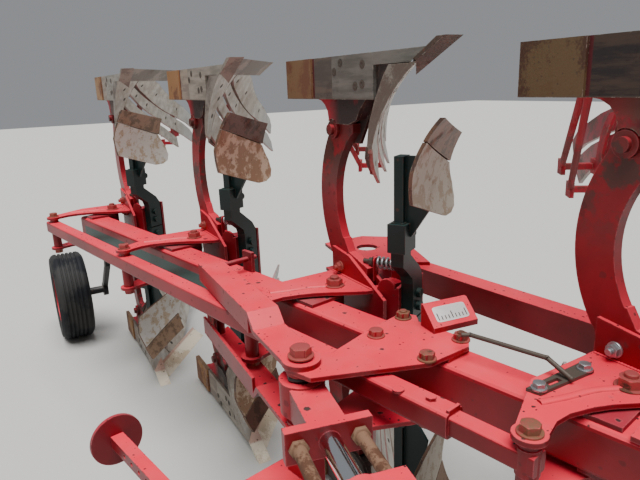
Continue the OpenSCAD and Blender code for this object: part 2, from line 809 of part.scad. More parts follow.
module mast() {
  color(red) machine() translate([0, turn_y, 0]) difference() {
    union() {
      both_hands() translate([0, mast_y + 12, 0]) plate_xz(24) mast_outline();
      for (x = [housing_x + 5, housing_x + housing_l - 30])
        translate([x, -mast_y - 1, -115]) cube([25, 2 * mast_y + 2, 230]);
      for (x = [base_eye_x - 22 - 25, base_eye_x + 22])
        translate([x, -mast_y - 1, turn_base_z - 45]) cube([25, 2 * mast_y + 2, 90]);
      translate([top_x - 60, -mast_y - 1, 330]) cube([40, 2 * mast_y + 2, 110]);
      both_hands() translate([top_x, 27 + 12, link_z + mast_h]) plate_xz(24) {
        circle(d = 90);
        translate([-45, 0]) square([60, 90]);
      }
      translate([base_eye_x - 30, 0, turn_base_z]) rod_x(30, 60);
    }
    translate([housing_x - 10, 0, 0]) rod_x(shaft_d + 60, housing_l + 20);
    translate([top_x, -200, link_z + mast_h]) rod_y(top_hole_d, 400);
    translate([link_x, -250, link_z]) rod_y(60, 500);
  }
}

// Repeats a piece on both sides of the turnover shaft
module both_hands() {
  children();
  mirror([0, 1, 0]) children();
}

module mast_outline() {
  polygon([[housing_x, -100], [link_x - 60, link_z - 60], [link_x + 60, link_z - 60],
    [link_x + 70, link_z + 60], [housing_x + housing_l + 10, -60], [housing_x + housing_l + 40, 230],
    [top_x - 20, 330], [top_x - 20, 440], [base_eye_x + 40, turn_base_z + 50],
    [base_eye_x - 60, turn_base_z + 50],
    [housing_x, 120]]);
}

module cross_shaft() {
  color(red) machine() translate([link_x, turn_y, link_z]) {
    translate([0, -link_spread / 2, 0]) rod_y(60, link_spread);
    translate([0, -link_spread / 2 - 95, 0]) rod_y(link_pin_d, link_spread + 190);
  }
}

turn_base_z = 480;
turn_angle = atan2(crank_r, turn_base_z);
turn_len = norm([crank_r, turn_base_z]);

// Places things in the turnover cylinder's axes, from its upper pin down
module on_turn_cylinder() {
  machine() translate([base_eye_x, turn_y, turn_base_z]) rotate([turn_angle, 0, 0]) children();
}

module turnover_barrel() {
  color(red) on_turn_cylinder() difference() {
    union() {
      rod_x_centred(60, 44);
      translate([0, 0, -330]) cylinder(d = 80, h = 272);
      translate([-20, -25, -60]) cube([40, 50, 50]);
    }
    rod_x_centred(30 + 2 * run_gap, 60);
    translate([0, 0, -331]) cylinder(d = 40 + 2 * run_gap, h = 280);
  }
}

module rod_x_centred(d, l) {
  translate([-l / 2, 0, 0]) rod_x(d, l);
}

module turnover_rod() {
  color(zinc) on_turn_cylinder() translate([0, 0, -turn_len + 25]) cylinder(d = 40, h = 230);
  color(red) on_turn_cylinder() translate([0, 0, -turn_len]) rod_x_centred(66, 46);
}

// Places things in the press arm's axes, from its pin
module on_press() {
  machine() translate([press_xy[0], press_xy[1], 0]) rotate([0, 0, press_angle]) children();
}

press_l = 1560;

module press_arm() {
  color(red) on_press() difference() {
    union() {
      difference() {
        translate([-press_l, -40, -50]) cube([press_l - 10, 80, 100]);
        translate([-press_l - 1, -32, -42]) cube([press_l - 80, 64, 84]);
      }
      translate([0, 0, -64]) cylinder(d = 100, h = 128);
    }
    translate([0, 0, -200]) cylinder(d = 40 + 2 * run_gap, h = 400);
  }
}

module press_head() {
  color(red) machine() {
    both_sides() translate([0, 0, 50]) linear_extrude(14) difference() {
      polygon([[-1498, 86], [-1500, 286], [-1380, 416], [-1011, 284], [-1091, 173], [-1195, 27]]);
      translate([-1330, 200]) circle(d = 90);
    }
    translate([-1440, 150, -51]) cylinder(d = 60, h = 102);
    translate([-1350, 330, -51]) cylinder(d = 60, h = 102);
  }
}

stand_z = -300;
stand_root = [-500, -830];
stand_l = mid_h + stand_z - 2;
// The yoke pin from the stand's hinge, in beam axes
stand_post = turned(yoke_xy - stand_root, -beam_angle);

module on_stand() {
  machine() translate([stand_root[0], stand_root[1], stand_z]) rotate([0, 0, beam_angle]) children();
}

module stand_holder() {
  color(red) on_stand() {
    for (y = [-stand_bar / 2 - 14, stand_bar / 2 + 2]) difference() {
      translate([-30, y, -40]) cube([70, 12, 110]);
      translate([0, -100, 0]) rod_y(20, 200);
    }
    translate([-30, -stand_bar / 2 - 14, 60]) cube([70, stand_bar + 28, 12]);
    translate([-30, stand_bar / 2 + 10, 36]) cube([110, stand_post[1] - 10, 36]);
    translate([stand_post[0] - 35, stand_post[1] - 35, 40])
      cube([70, 70, -arm_z - arm_t - 6 - stand_z - 40]);
  }
}

module stand_leg() {
  color(red) on_stand() difference() {
    translate([-stand_l + 12, -stand_bar / 2, -stand_bar / 2]) cube([stand_l + 12, stand_bar, stand_bar]);
    for (k = [1 : 9]) translate([-k * 50, -50, 0]) rod_y(14, 100);
  }
  color(zinc) on_stand() translate([0, -45, 0]) rod_y(20 - 2 * run_gap, 90);
}

module stand_foot() {
  color(red) on_stand() translate([-stand_l, 0, 0]) rod_x(foot_d, 12);
}

module width_scale() {
  color(red) machine() translate([-457, -166, 0]) rotate([0, 0, -6.2]) {
    plate_xz_at(147, 147) polygon([[-66, 84], [0, 84], [0, 100], [-56, 150], [-66, 150]]);
  }
}

// The pointer's rod, bent at these places, and the slotted bar under it
pointer_path = [[-341, -177, 130], [-329, -158, 130], [-141, -100, 130],
  [-78, -95, bracket_z + plate_t + 13]];

module width_pointer() {
  color(rust) at_pivot(1) {
    for (k = [0 : 2]) {
      bar_between(pointer_path[k], pointer_path[k + 1], 12);
      translate(pointer_path[k + 1]) sphere(d = 13.4);
    }
    translate([0, 0, bracket_z + plate_t]) {
      difference() {
        linear_extrude(8) polygon([[-110, -202], [-78, -192], [-81, -11], [-123, -4]]);
        translate([-103, -150, -1]) cube([14, 40, 10]);
      }
      for (p = [[-94, -180], [-96, -24]]) translate([p[0], p[1], 7]) bolt_head(16);
    }
  }
}

beam();
beam_pivots();
carrier_plates();
brace_arms();
brace_adjuster();
bracket(1);  // bracket_1
bracket(2);  // bracket_2
bracket(3);  // bracket_3
bracket(4);  // bracket_4
legs(1);  // legs_1
legs(2);  // legs_2
legs(3);  // legs_3
legs(4);  // legs_4
frogs(1);  // frogs_1
frogs(2);  // frogs_2
frogs(3);  // frogs_3
frogs(4);  // frogs_4
moldboards(1);  // moldboards_1
moldboards(2);  // moldboards_2
moldboards(3);  // moldboards_3
moldboards(4);  // moldboards_4
shares(1);  // shares_1
shares(2);  // shares_2
shares(3);  // shares_3
shares(4);  // shares_4
landsides(1);  // landsides_1
landsides(2);  // landsides_2
landsides(3);  // landsides_3
landsides(4);  // landsides_4
skimmer_stalks(1);  // skimmer_stalks_1
skimmer_stalks(2);  // skimmer_stalks_2
skimmer_stalks(3);  // skimmer_stalks_3
skimmer_stalks(4);  // skimmer_stalks_4
skimmer_blades(1);  // skimmer_blades_1
skimmer_blades(2);  // skimmer_blades_2
skimmer_blades(3);  // skimmer_blades_3
skimmer_blades(4);  // skimmer_blades_4
parallel_rod();
wheel_bracket();
wheel_arm();
wheel_rim();
tyre();
width_barrel();
width_yoke();
carriage();
turnover_shaft();
press_arm();
press_head();
stand_holder();
stand_leg();
stand_foot();
mast();
bearing_housing();
cross_shaft();
turnover_barrel();
turnover_rod();
width_scale();
width_pointer();
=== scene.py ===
import bpy
import bmesh
import math
import numpy as np
from mathutils import Matrix, Vector


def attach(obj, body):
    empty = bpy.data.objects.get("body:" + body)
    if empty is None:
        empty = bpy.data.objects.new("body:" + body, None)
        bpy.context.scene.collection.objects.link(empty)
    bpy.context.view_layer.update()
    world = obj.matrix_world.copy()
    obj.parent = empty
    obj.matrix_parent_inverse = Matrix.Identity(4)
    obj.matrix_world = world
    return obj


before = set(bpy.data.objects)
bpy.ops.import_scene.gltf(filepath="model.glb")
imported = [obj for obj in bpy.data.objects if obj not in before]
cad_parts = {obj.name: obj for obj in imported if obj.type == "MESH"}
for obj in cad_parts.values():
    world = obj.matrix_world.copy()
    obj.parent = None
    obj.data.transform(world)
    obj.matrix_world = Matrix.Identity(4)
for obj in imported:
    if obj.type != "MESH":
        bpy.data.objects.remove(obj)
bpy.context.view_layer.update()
print("frame loaded, nodes:", len(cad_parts))

# camera: where the photo was taken from, its direction in degrees, its lens in millimetres
view = {
    "place": (1.8769, -0.9904, 1.621),
    "yaw": 151.18,
    "pitch": 15.44,
    "roll": 2.086,
    "lens": 31.91,
    "sensor": 36.0,
}


def aimCamera():
    yaw, pitch, roll = [math.radians(view[k]) for k in ("yaw", "pitch", "roll")]
    ahead = Vector((math.cos(yaw) * math.cos(pitch), math.sin(yaw) * math.cos(pitch), -math.sin(pitch)))
    side = Vector((math.sin(yaw), -math.cos(yaw), 0.0))
    down = ahead.cross(side)
    right = math.cos(roll) * side + math.sin(roll) * down
    low = -math.sin(roll) * side + math.cos(roll) * down
    lens = bpy.data.cameras.new("photoView")
    lens.lens = view["lens"]
    lens.sensor_width = view["sensor"]
    lens.clip_start = 0.02
    cam = bpy.data.objects.new("photoView", lens)
    cam.matrix_world = Matrix((
        (right.x, -low.x, -ahead.x, view["place"][0]),
        (right.y, -low.y, -ahead.y, view["place"][1]),
        (right.z, -low.z, -ahead.z, view["place"][2]),
        (0, 0, 0, 1)))
    bpy.context.scene.collection.objects.link(cam)
    bpy.context.scene.camera = cam


aimCamera()
print("camera placed")

# a pale yard under a bright, clouded sky
yard = {
    "size": 60.0,
    "colour": (0.56, 0.55, 0.52),
    "sky": (0.92, 0.95, 1.0),
    "skyStrength": 0.30,
    "sunStrength": 4.8,
    "sunSoftness": 45.0,
    "sunTurn": (14.0, 10.0, 30.0),
}


def newMaterial(name):
    mat = bpy.data.materials.new(name)
    mat.use_nodes = True
    return mat, mat.node_tree, mat.node_tree.nodes["Principled BSDF"]


def layYard():
    h = yard["size"] / 2
    mesh = bpy.data.meshes.new("yard")
    mesh.from_pydata([(-h, -h, 0), (h, -h, 0), (h, h, 0), (-h, h, 0)], [], [(0, 1, 2, 3)])
    floor = bpy.data.objects.new("yard", mesh)
    bpy.context.scene.collection.objects.link(floor)
    mat, tree, shader = newMaterial("yardPale")
    shader.inputs["Base Color"].default_value = (*yard["colour"], 1)
    shader.inputs["Roughness"].default_value = 0.9
    mesh.materials.append(mat)
    world = bpy.data.worlds.new("clouded")
    bpy.context.scene.world = world
    world.use_nodes = True
    world.node_tree.nodes["Background"].inputs[0].default_value = (*yard["sky"], 1)
    world.node_tree.nodes["Background"].inputs[1].default_value = yard["skyStrength"]
    sun = bpy.data.lights.new("softSun", "SUN")
    sun.energy = yard["sunStrength"]
    sun.angle = math.radians(yard["sunSoftness"])
    lamp = bpy.data.objects.new("softSun", sun)
    lamp.rotation_euler = [math.radians(v) for v in yard["sunTurn"]]
    bpy.context.scene.collection.objects.link(lamp)


layYard()
print("yard and light ready")

# the machine's axes in metres: pivot 1 on the z axis, the beam's middle at height zero
machine = {"base": (1.2279, 0.1306, 0.862), "beamTurn": math.radians(12.33), "pitch": 0.95,
           "shareTurn": math.radians(38.2), "shareTip": (0.458, 0.069)}
base = np.array(machine["base"])
cosBeam, sinBeam = math.cos(machine["beamTurn"]), math.sin(machine["beamTurn"])
cosShare, sinShare = math.cos(machine["shareTurn"]), math.sin(machine["shareTurn"])


def pivotPlace(i):
    return base - machine["pitch"] * (i - 1) * np.array((cosBeam, sinBeam, 0))


def fromBeam(s, t, z=0.0):
    # beam axes: forwards along the beam, then square to it
    return base + np.array((s * cosBeam - t * sinBeam, s * sinBeam + t * cosBeam, z))


# shared effects, as node groups that put out masks and values only
def openGroup(name, inputs, outputs):
    group = bpy.data.node_groups.new(name, "ShaderNodeTree")
    for label, value in inputs:
        sock = group.interface.new_socket(name=label, in_out="INPUT", socket_type="NodeSocketFloat")
        sock.default_value = value
    for label in outputs:
        group.interface.new_socket(name=label, in_out="OUTPUT", socket_type="NodeSocketFloat")
    return group, group.nodes.new("NodeGroupInput"), group.nodes.new("NodeGroupOutput")


def feed(tree, sock, value):
    if isinstance(value, (int, float)):
        sock.default_value = value
    elif isinstance(value, tuple):
        sock.default_value = (*value, 1) if len(sock.default_value) == 4 else value
    else:
        tree.links.new(value, sock)


def calc(tree, kind, a, b=None, c=None, clamp=False):
    node = tree.nodes.new("ShaderNodeMath")
    node.operation = kind
    node.use_clamp = clamp
    for slot, v in enumerate((a, b, c)):
        if v is not None:
            feed(tree, node.inputs[slot], v)
    return node.outputs[0]


def ramp(tree, value, low, high):
    # a value from 0 at low to 1 at high, with soft ends
    node = tree.nodes.new("ShaderNodeMapRange")
    node.interpolation_type = "SMOOTHSTEP"
    if low > high:
        return calc(tree, "SUBTRACT", 1.0, ramp(tree, value, high, low))
    node.inputs["From Min"].default_value = low
    node.inputs["From Max"].default_value = high
    feed(tree, node.inputs["Value"], value)
    return node.outputs["Result"]


def both(tree, a, b):
    return calc(tree, "MULTIPLY", a, b, clamp=True)


def noise(tree, vector, scale, detail, rough):
    node = tree.nodes.new("ShaderNodeTexNoise")
    feed(tree, node.inputs["Scale"], scale)
    node.inputs["Detail"].default_value = detail
    node.inputs["Roughness"].default_value = rough
    feed(tree, node.inputs["Vector"], vector)
    return node.outputs["Fac"]


def mixColour(tree, factor, first, second):
    node = tree.nodes.new("ShaderNodeMix")
    node.data_type = "RGBA"
    for sock, v in ((node.inputs[0], factor), (node.inputs[6], first), (node.inputs[7], second)):
        feed(tree, sock, v)
    return node.outputs[2]


def coords(tree, kind="Object"):
    return tree.nodes.new("ShaderNodeTexCoord").outputs[kind]


def split(tree, vector):
    node = tree.nodes.new("ShaderNodeSeparateXYZ")
    feed(tree, node.inputs[0], vector)
    return node.outputs


def stretched(tree, vector, turn, scale):
    node = tree.nodes.new("ShaderNodeMapping")
    node.inputs["Rotation"].default_value = turn
    node.inputs["Scale"].default_value = scale
    feed(tree, node.inputs["Vector"], vector)
    return node.outputs[0]


def edgeWearGroup():
    # rubbed edges: where a rounded normal leaves the true one, whole and broken up by grain
    group, gin, gout = openGroup("edgeWear", [("Radius", 0.004)], ["Edge", "Worn"])
    bevel = group.nodes.new("ShaderNodeBevel")
    bevel.samples = 6
    feed(group, bevel.inputs["Radius"], gin.outputs["Radius"])
    geo = group.nodes.new("ShaderNodeNewGeometry")
    dot = group.nodes.new("ShaderNodeVectorMath")
    dot.operation = "DOT_PRODUCT"
    feed(group, dot.inputs[0], bevel.outputs[0])
    feed(group, dot.inputs[1], geo.outputs["Normal"])
    edge = calc(group, "MULTIPLY", calc(group, "SUBTRACT", 1.0, dot.outputs["Value"]), 7.0, clamp=True)
    grain = noise(group, coords(group), 48, 5, 0.7)
    feed(group, gout.inputs["Edge"], edge)
    feed(group, gout.inputs["Worn"], both(group, edge, ramp(group, grain, 0.50, 0.60)))
    return group


def patchesGroup():
    # blotches of two sizes: rust blooms, rubbed paint or dried soil
    group, gin, gout = openGroup("patches", [("Scale", 6.0), ("Cover", 0.4)], ["Mask", "Grain"])
    big = noise(group, coords(group), gin.outputs["Scale"], 6, 0.62)
    fine = noise(group, coords(group), 150, 3, 0.6)
    level = calc(group, "SUBTRACT", 0.98, calc(group, "MULTIPLY", gin.outputs["Cover"], 0.6))
    over = calc(group, "SUBTRACT", calc(group, "MULTIPLY_ADD", fine, 0.22, big), level)
    feed(group, gout.inputs["Mask"], ramp(group, over, -0.02, 0.07))
    feed(group, gout.inputs["Grain"], fine)
    return group


def chipsGroup():
    # small chips: spots round scattered points, each with a size of its own, and a paler rim
    group, gin, gout = openGroup("chips", [("Scale", 30.0), ("Share", 0.3)], ["Mask", "Rim"])
    bent = group.nodes.new("ShaderNodeVectorMath")
    bent.operation = "MULTIPLY_ADD"
    warp = group.nodes.new("ShaderNodeTexNoise")
    warp.inputs["Scale"].default_value = 60
    feed(group, warp.inputs["Vector"], coords(group))
    feed(group, bent.inputs[0], warp.outputs["Color"])
    bent.inputs[1].default_value = (0.012, 0.012, 0.012)
    feed(group, bent.inputs[2], coords(group))
    cells = group.nodes.new("ShaderNodeTexVoronoi")
    feed(group, cells.inputs["Vector"], bent.outputs[0])
    feed(group, cells.inputs["Scale"], gin.outputs["Scale"])
    tint = split(group, cells.outputs["Color"])
    kept = calc(group, "LESS_THAN", tint[0], gin.outputs["Share"])
    size = calc(group, "MULTIPLY_ADD", calc(group, "POWER", tint[1], 2.0), 0.24, 0.05)
    gap = calc(group, "SUBTRACT", cells.outputs["Distance"], size)
    feed(group, gout.inputs["Mask"], both(group, kept, ramp(group, gap, 0.03, -0.03)))
    feed(group, gout.inputs["Rim"], both(group, kept, ramp(group, gap, 0.10, 0.03)))
    return group


def facingGroup():
    # which way a face looks in the body's own frame: up, down, and out over the soil that is turned
    group, gin, gout = openGroup("facing", [], ["Up", "Down", "Soil"])
    x, y, z = split(group, coords(group, "Normal"))
    feed(group, gout.inputs["Up"], ramp(group, z, 0.15, 0.85))
    feed(group, gout.inputs["Down"], ramp(group, z, -0.15, -0.85))
    soil = calc(group, "MULTIPLY_ADD", x, sinShare, calc(group, "MULTIPLY", y, cosShare))
    feed(group, gout.inputs["Soil"], ramp(group, soil, -0.03, 0.03))
    return group


def bodyPlaceGroup():
    # place seen from a body's pivot: forwards, sideways, away from the beam's height, and along the share
    group, gin, gout = openGroup("bodyPlace", [("PivotX", 0.0), ("PivotY", 0.0)],
                                 ["X", "Y", "Depth", "Above", "Edge"])
    x, y, z = split(group, coords(group))
    x = calc(group, "SUBTRACT", x, gin.outputs["PivotX"])
    y = calc(group, "SUBTRACT", y, gin.outputs["PivotY"])
    up = calc(group, "SUBTRACT", z, machine["base"][2])
    feed(group, gout.inputs["X"], x)
    feed(group, gout.inputs["Y"], y)
    feed(group, gout.inputs["Depth"], calc(group, "ABSOLUTE", up))
    feed(group, gout.inputs["Above"], calc(group, "GREATER_THAN", up, 0.0))
    along = calc(group, "MULTIPLY", calc(group, "SUBTRACT", y, machine["shareTip"][1]), sinShare)
    back = calc(group, "MULTIPLY", calc(group, "SUBTRACT", x, machine["shareTip"][0]), cosShare)
    feed(group, gout.inputs["Edge"], calc(group, "SUBTRACT", along, back))
    return group


groups = {"edgeWear": edgeWearGroup(), "patches": patchesGroup(), "chips": chipsGroup(),
          "facing": facingGroup(), "bodyPlace": bodyPlaceGroup()}


def put(tree, name, **values):
    node = tree.nodes.new("ShaderNodeGroup")
    node.node_tree = groups[name]
    for label, value in values.items():
        feed(tree, node.inputs[label], value)
    return node.outputs


def seenFrom(tree, i):
    place = pivotPlace(i)
    return put(tree, "bodyPlace", PivotX=float(place[0]), PivotY=float(place[1]))


def addBump(tree, shader, height, strength, distance=0.002):
    bump = tree.nodes.new("ShaderNodeBump")
    bump.inputs["Strength"].default_value = strength
    bump.inputs["Distance"].default_value = distance
    feed(tree, bump.inputs["Height"], height)
    tree.links.new(bump.outputs["Normal"], shader.inputs["Normal"])


# paints: the side colour is the paint on upright faces as seen in shade (painted shade), the top colour is painted
# lighter where faces look up (a painted highlight of the sky), and the under colour is painted shade on faces looking
# down
finishes = {
    "redPaint": {"side": (0.145, 0.0012, 0.0045), "top": (0.93, 0.026, 0.062), "under": (0.035, 0.001, 0.003),
                 "edge": (0.60, 0.10, 0.12), "chip": (0.045, 0.020, 0.018), "rough": 0.44, "chips": 0.30,
                 "rust": 0.10, "dust": 0.08, "coat": 0.12},
    # a darker, more worn copy of the red paint: more rust, dust and chips, and colours painted darker as painted shade
    "shadedWornRedPaint": {"side": (0.12, 0.002, 0.006), "top": (0.40, 0.025, 0.045), "under": (0.08, 0.005, 0.01),
                     "edge": (0.55, 0.10, 0.12), "chip": (0.04, 0.02, 0.018), "rough": 0.45, "chips": 0.35,
                     "rust": 0.25, "dust": 0.15, "coat": 0.15},
    "greenPaint": {"side": (0.0018, 0.010, 0.009), "top": (0.012, 0.040, 0.036), "under": (0.003, 0.010, 0.010),
                   "edge": (0.025, 0.05, 0.045), "chip": (0.10, 0.04, 0.028), "rough": 0.45, "chips": 0.08,
                   "rust": 0.06, "dust": 0.06, "coat": 0.05},
    "blackPaint": {"side": (0.012, 0.012, 0.014), "top": (0.035, 0.034, 0.034), "under": (0.006, 0.006, 0.006),
                   "edge": (0.07, 0.06, 0.055), "chip": (0.12, 0.07, 0.045), "rough": 0.45, "chips": 0.2,
                   "rust": 0.1, "dust": 0.15, "coat": 0.1},
}


def paintCoat(tree, f):
    # paint painted lighter where it faces up, a painted highlight of the sky, and darker where it faces down, painted
    # shade; with slow clouds of colour, rubbed edges, chips and dust
    face = put(tree, "facing")
    edge = put(tree, "edgeWear", Radius=0.0045)
    cloud = noise(tree, coords(tree), 2.4, 5, 0.6)
    chips = put(tree, "chips", Scale=26.0, Share=f["chips"])
    specks = put(tree, "chips", Scale=70.0, Share=f["chips"] * 1.2)
    rust = put(tree, "patches", Scale=7.0, Cover=f["rust"])
    # the top colour on upward faces is a painted highlight of the sky; the clouds of colour vary the tone at random
    toneAndSkyHighlight = calc(tree, "MULTIPLY_ADD", ramp(tree, cloud, 0.3, 0.7), 0.18, calc(tree, "MULTIPLY", face["Up"], 0.88),
                clamp=True)
    colour = mixColour(tree, toneAndSkyHighlight, f["side"], f["top"])
    # painted shade: faces looking down are painted in the darker under colour
    colour = mixColour(tree, calc(tree, "MULTIPLY", face["Down"], 0.85), colour, f["under"])
    colour = mixColour(tree, calc(tree, "MULTIPLY", edge["Edge"], 0.55), colour, f["edge"])
    open_ = calc(tree, "MULTIPLY_ADD", face["Up"], 0.6, 0.4)
    rims = both(tree, chips["Rim"], both(tree, face["Up"], 0.3))
    colour = mixColour(tree, rims, colour, f["edge"])
    bare = calc(tree, "MAXIMUM", both(tree, chips["Mask"], open_), both(tree, specks["Mask"], open_))
    bare = calc(tree, "MAXIMUM", bare, both(tree, edge["Worn"], 0.75))
    bare = calc(tree, "MAXIMUM", bare, rust["Mask"])
    colour = mixColour(tree, bare, colour, f["chip"])
    dust = both(tree, both(tree, face["Up"], ramp(tree, noise(tree, coords(tree), 9, 5, 0.6), 0.35, 0.7)), f["dust"])
    colour = mixColour(tree, dust, colour, (0.42, 0.36, 0.30))
    rough = calc(tree, "MULTIPLY_ADD", bare, 0.4, f["rough"])
    return colour, calc(tree, "MULTIPLY_ADD", dust, 0.4, rough), rust["Grain"], bare


def paintedSteel(name, f, zone=None):
    # zone lays a stain, a band or another coat over the paint and gives the colour back
    mat, tree, shader = newMaterial(name)
    colour, rough, grain, bare = paintCoat(tree, f)
    if zone:
        colour = zone(tree, colour, bare)
    feed(tree, shader.inputs["Base Color"], colour)
    feed(tree, shader.inputs["Roughness"], rough)
    shader.inputs["Coat Weight"].default_value = f["coat"]
    shader.inputs["Coat Roughness"].default_value = 0.18
    shader.inputs["Specular IOR Level"].default_value = 0.32
    addBump(tree, shader, calc(tree, "MULTIPLY_ADD", bare, -0.5, grain), 0.18, 0.001)
    return mat


steels = {
    "rusty": {"base": (0.13, 0.062, 0.034), "second": (0.22, 0.12, 0.07), "rust": (0.10, 0.042, 0.022),
              "cover": 0.6, "rough": 0.82, "metal": 0.1},
    "boltRust": {"base": (0.20, 0.085, 0.045), "second": (0.34, 0.05, 0.05), "rust": (0.09, 0.04, 0.025),
                 "cover": 0.5, "rough": 0.7, "metal": 0.2},
    "darkSteel": {"base": (0.045, 0.036, 0.032), "second": (0.09, 0.07, 0.055), "rust": (0.16, 0.08, 0.045),
                  "cover": 0.35, "rough": 0.6, "metal": 0.4},
    "zincPlate": {"base": (0.50, 0.52, 0.53), "second": (0.36, 0.37, 0.38), "rust": (0.28, 0.20, 0.13),
                  "cover": 0.14, "rough": 0.40, "metal": 0.85},
    "chromeRod": {"base": (0.74, 0.75, 0.77), "second": (0.62, 0.62, 0.64), "rust": (0.35, 0.30, 0.25),
                  "cover": 0.05, "rough": 0.12, "metal": 1.0},
    "scaleWhite": {"base": (0.72, 0.71, 0.69), "second": (0.60, 0.58, 0.55), "rust": (0.45, 0.16, 0.15),
                   "cover": 0.15, "rough": 0.45, "metal": 0.0},
    "greasedRubber": {"base": (0.010, 0.010, 0.011), "second": (0.03, 0.026, 0.024), "rust": (0.07, 0.04, 0.03),
                      "cover": 0.2, "rough": 0.42, "metal": 0.0},
}


def bareSteel(name, s):
    mat, tree, shader = newMaterial(name)
    blot = put(tree, "patches", Scale=5.0, Cover=0.8)
    rust = put(tree, "patches", Scale=13.0, Cover=s["cover"])
    edge = put(tree, "edgeWear", Radius=0.004)
    colour = mixColour(tree, blot["Mask"], s["base"], s["second"])
    colour = mixColour(tree, rust["Mask"], colour, s["rust"])
    bright = tuple(min(1.0, v * 1.3) for v in s["base"])
    colour = mixColour(tree, both(tree, edge["Edge"], 0.6), colour, bright)
    feed(tree, shader.inputs["Base Color"], colour)
    shader.inputs["Metallic"].default_value = s["metal"]
    feed(tree, shader.inputs["Roughness"], calc(tree, "MULTIPLY_ADD", rust["Mask"], 0.3, s["rough"]))
    addBump(tree, shader, blot["Grain"], 0.25, 0.001)
    return mat


def tyreRubber():
    mat, tree, shader = newMaterial("tyreRubber")
    dust = put(tree, "patches", Scale=6.0, Cover=0.62)
    colour = mixColour(tree, dust["Mask"], (0.007, 0.008, 0.011), (0.030, 0.029, 0.028))
    feed(tree, shader.inputs["Base Color"], colour)
    shader.inputs["Roughness"].default_value = 0.72
    shader.inputs["Specular IOR Level"].default_value = 0.3
    addBump(tree, shader, dust["Grain"], 0.3, 0.001)
    return mat


# per body: what the soil has left on the landsides, boards, shares and skimmers
bodyLooks = {
    1: {"heel": (0.125, 0.080, 0.036), "heelRust": (0.07, 0.032, 0.018), "plate": (0.020, 0.016, 0.016),
        "plateSpot": (0.06, 0.04, 0.028), "front": (0.014, 0.013, 0.014), "shareTop": (0.10, 0.065, 0.045),
        "blade": (0.24, 0.12, 0.06), "spade": (0.56, 0.50, 0.40), "spadeSpot": (0.40, 0.30, 0.20)},
    2: {"heel": (0.19, 0.105, 0.048), "heelRust": (0.15, 0.06, 0.03), "plate": (0.075, 0.060, 0.052),
        "plateSpot": (0.12, 0.09, 0.07), "front": (0.17, 0.155, 0.135), "shareTop": (0.11, 0.070, 0.050),
        "blade": (0.20, 0.12, 0.075), "spade": (0.40, 0.36, 0.29), "spadeSpot": (0.30, 0.23, 0.16)},
    3: {"heel": (0.33, 0.17, 0.07), "heelRust": (0.17, 0.07, 0.035), "plate": (0.22, 0.18, 0.15),
        "plateSpot": (0.34, 0.28, 0.22), "front": (0.34, 0.30, 0.25), "shareTop": (0.26, 0.22, 0.18),
        "blade": (0.11, 0.045, 0.028), "spade": (0.30, 0.18, 0.105), "spadeSpot": (0.55, 0.42, 0.30)},
    4: {"heel": (0.33, 0.18, 0.08), "heelRust": (0.18, 0.08, 0.04), "plate": (0.24, 0.20, 0.17),
        "plateSpot": (0.36, 0.30, 0.24), "front": (0.34, 0.31, 0.27), "shareTop": (0.28, 0.25, 0.21),
        "blade": (0.25, 0.16, 0.10), "spade": (0.56, 0.54, 0.49), "spadeSpot": (0.42, 0.34, 0.24)},
}


def soilSteel(name, i, paintIt, rough=0.58, metal=0.15):
    # a scoured wearing plate: paintIt(tree, place, look) gives the colour, the rest is shared
    mat, tree, shader = newMaterial(name)
    place = seenFrom(tree, i)
    colour = paintIt(tree, place, bodyLooks[i])
    edge = put(tree, "edgeWear", Radius=0.004)
    grain = put(tree, "patches", Scale=9.0, Cover=0.5)
    colour = mixColour(tree, both(tree, edge["Worn"], 0.5), colour, (0.50, 0.45, 0.38))
    feed(tree, shader.inputs["Base Color"], colour)
    shader.inputs["Metallic"].default_value = metal
    feed(tree, shader.inputs["Roughness"], calc(tree, "MULTIPLY_ADD", grain["Mask"], 0.22, rough))
    addBump(tree, shader, grain["Grain"], 0.35, 0.0015)
    return mat


# where the landside's parts meet, forwards from the pivot, and its upper edge, away from the beam's height
landsideSeams = {"strip": (-0.2262, -0.2252), "plate": (-0.217, -0.213), "front": (-0.098, -0.094),
                 "lip": (0.712, 0.706)}


def landsideColour(tree, place, look):
    # along the landside: a rusty heel, a red strip, then plates rubbed by the furrow wall
    streak = noise(tree, stretched(tree, coords(tree), (0, 0, 0), (5, 20, 34)), 1.0, 5, 0.65)
    blot = put(tree, "patches", Scale=6.0, Cover=0.62)
    specks = put(tree, "chips", Scale=80.0, Share=0.22)
    heel = mixColour(tree, blot["Mask"], look["heel"], look["heelRust"])
    middle = mixColour(tree, ramp(tree, streak, 0.42, 0.62), look["plate"], look["plateSpot"])
    ahead = mixColour(tree, ramp(tree, streak, 0.36, 0.64), look["front"], tuple(v * 0.6 for v in look["front"]))
    colour = mixColour(tree, ramp(tree, place["X"], *landsideSeams["strip"]), heel, (0.085, 0.008, 0.012))
    colour = mixColour(tree, ramp(tree, place["X"], *landsideSeams["plate"]), colour, middle)
    colour = mixColour(tree, ramp(tree, place["X"], *landsideSeams["front"]), colour, ahead)
    lip = both(tree, ramp(tree, place["Depth"], *landsideSeams["lip"]), 0.6)
    colour = mixColour(tree, lip, colour, (0.11, 0.075, 0.055))
    return mixColour(tree, both(tree, specks["Mask"], 0.7), colour, (0.07, 0.045, 0.032))


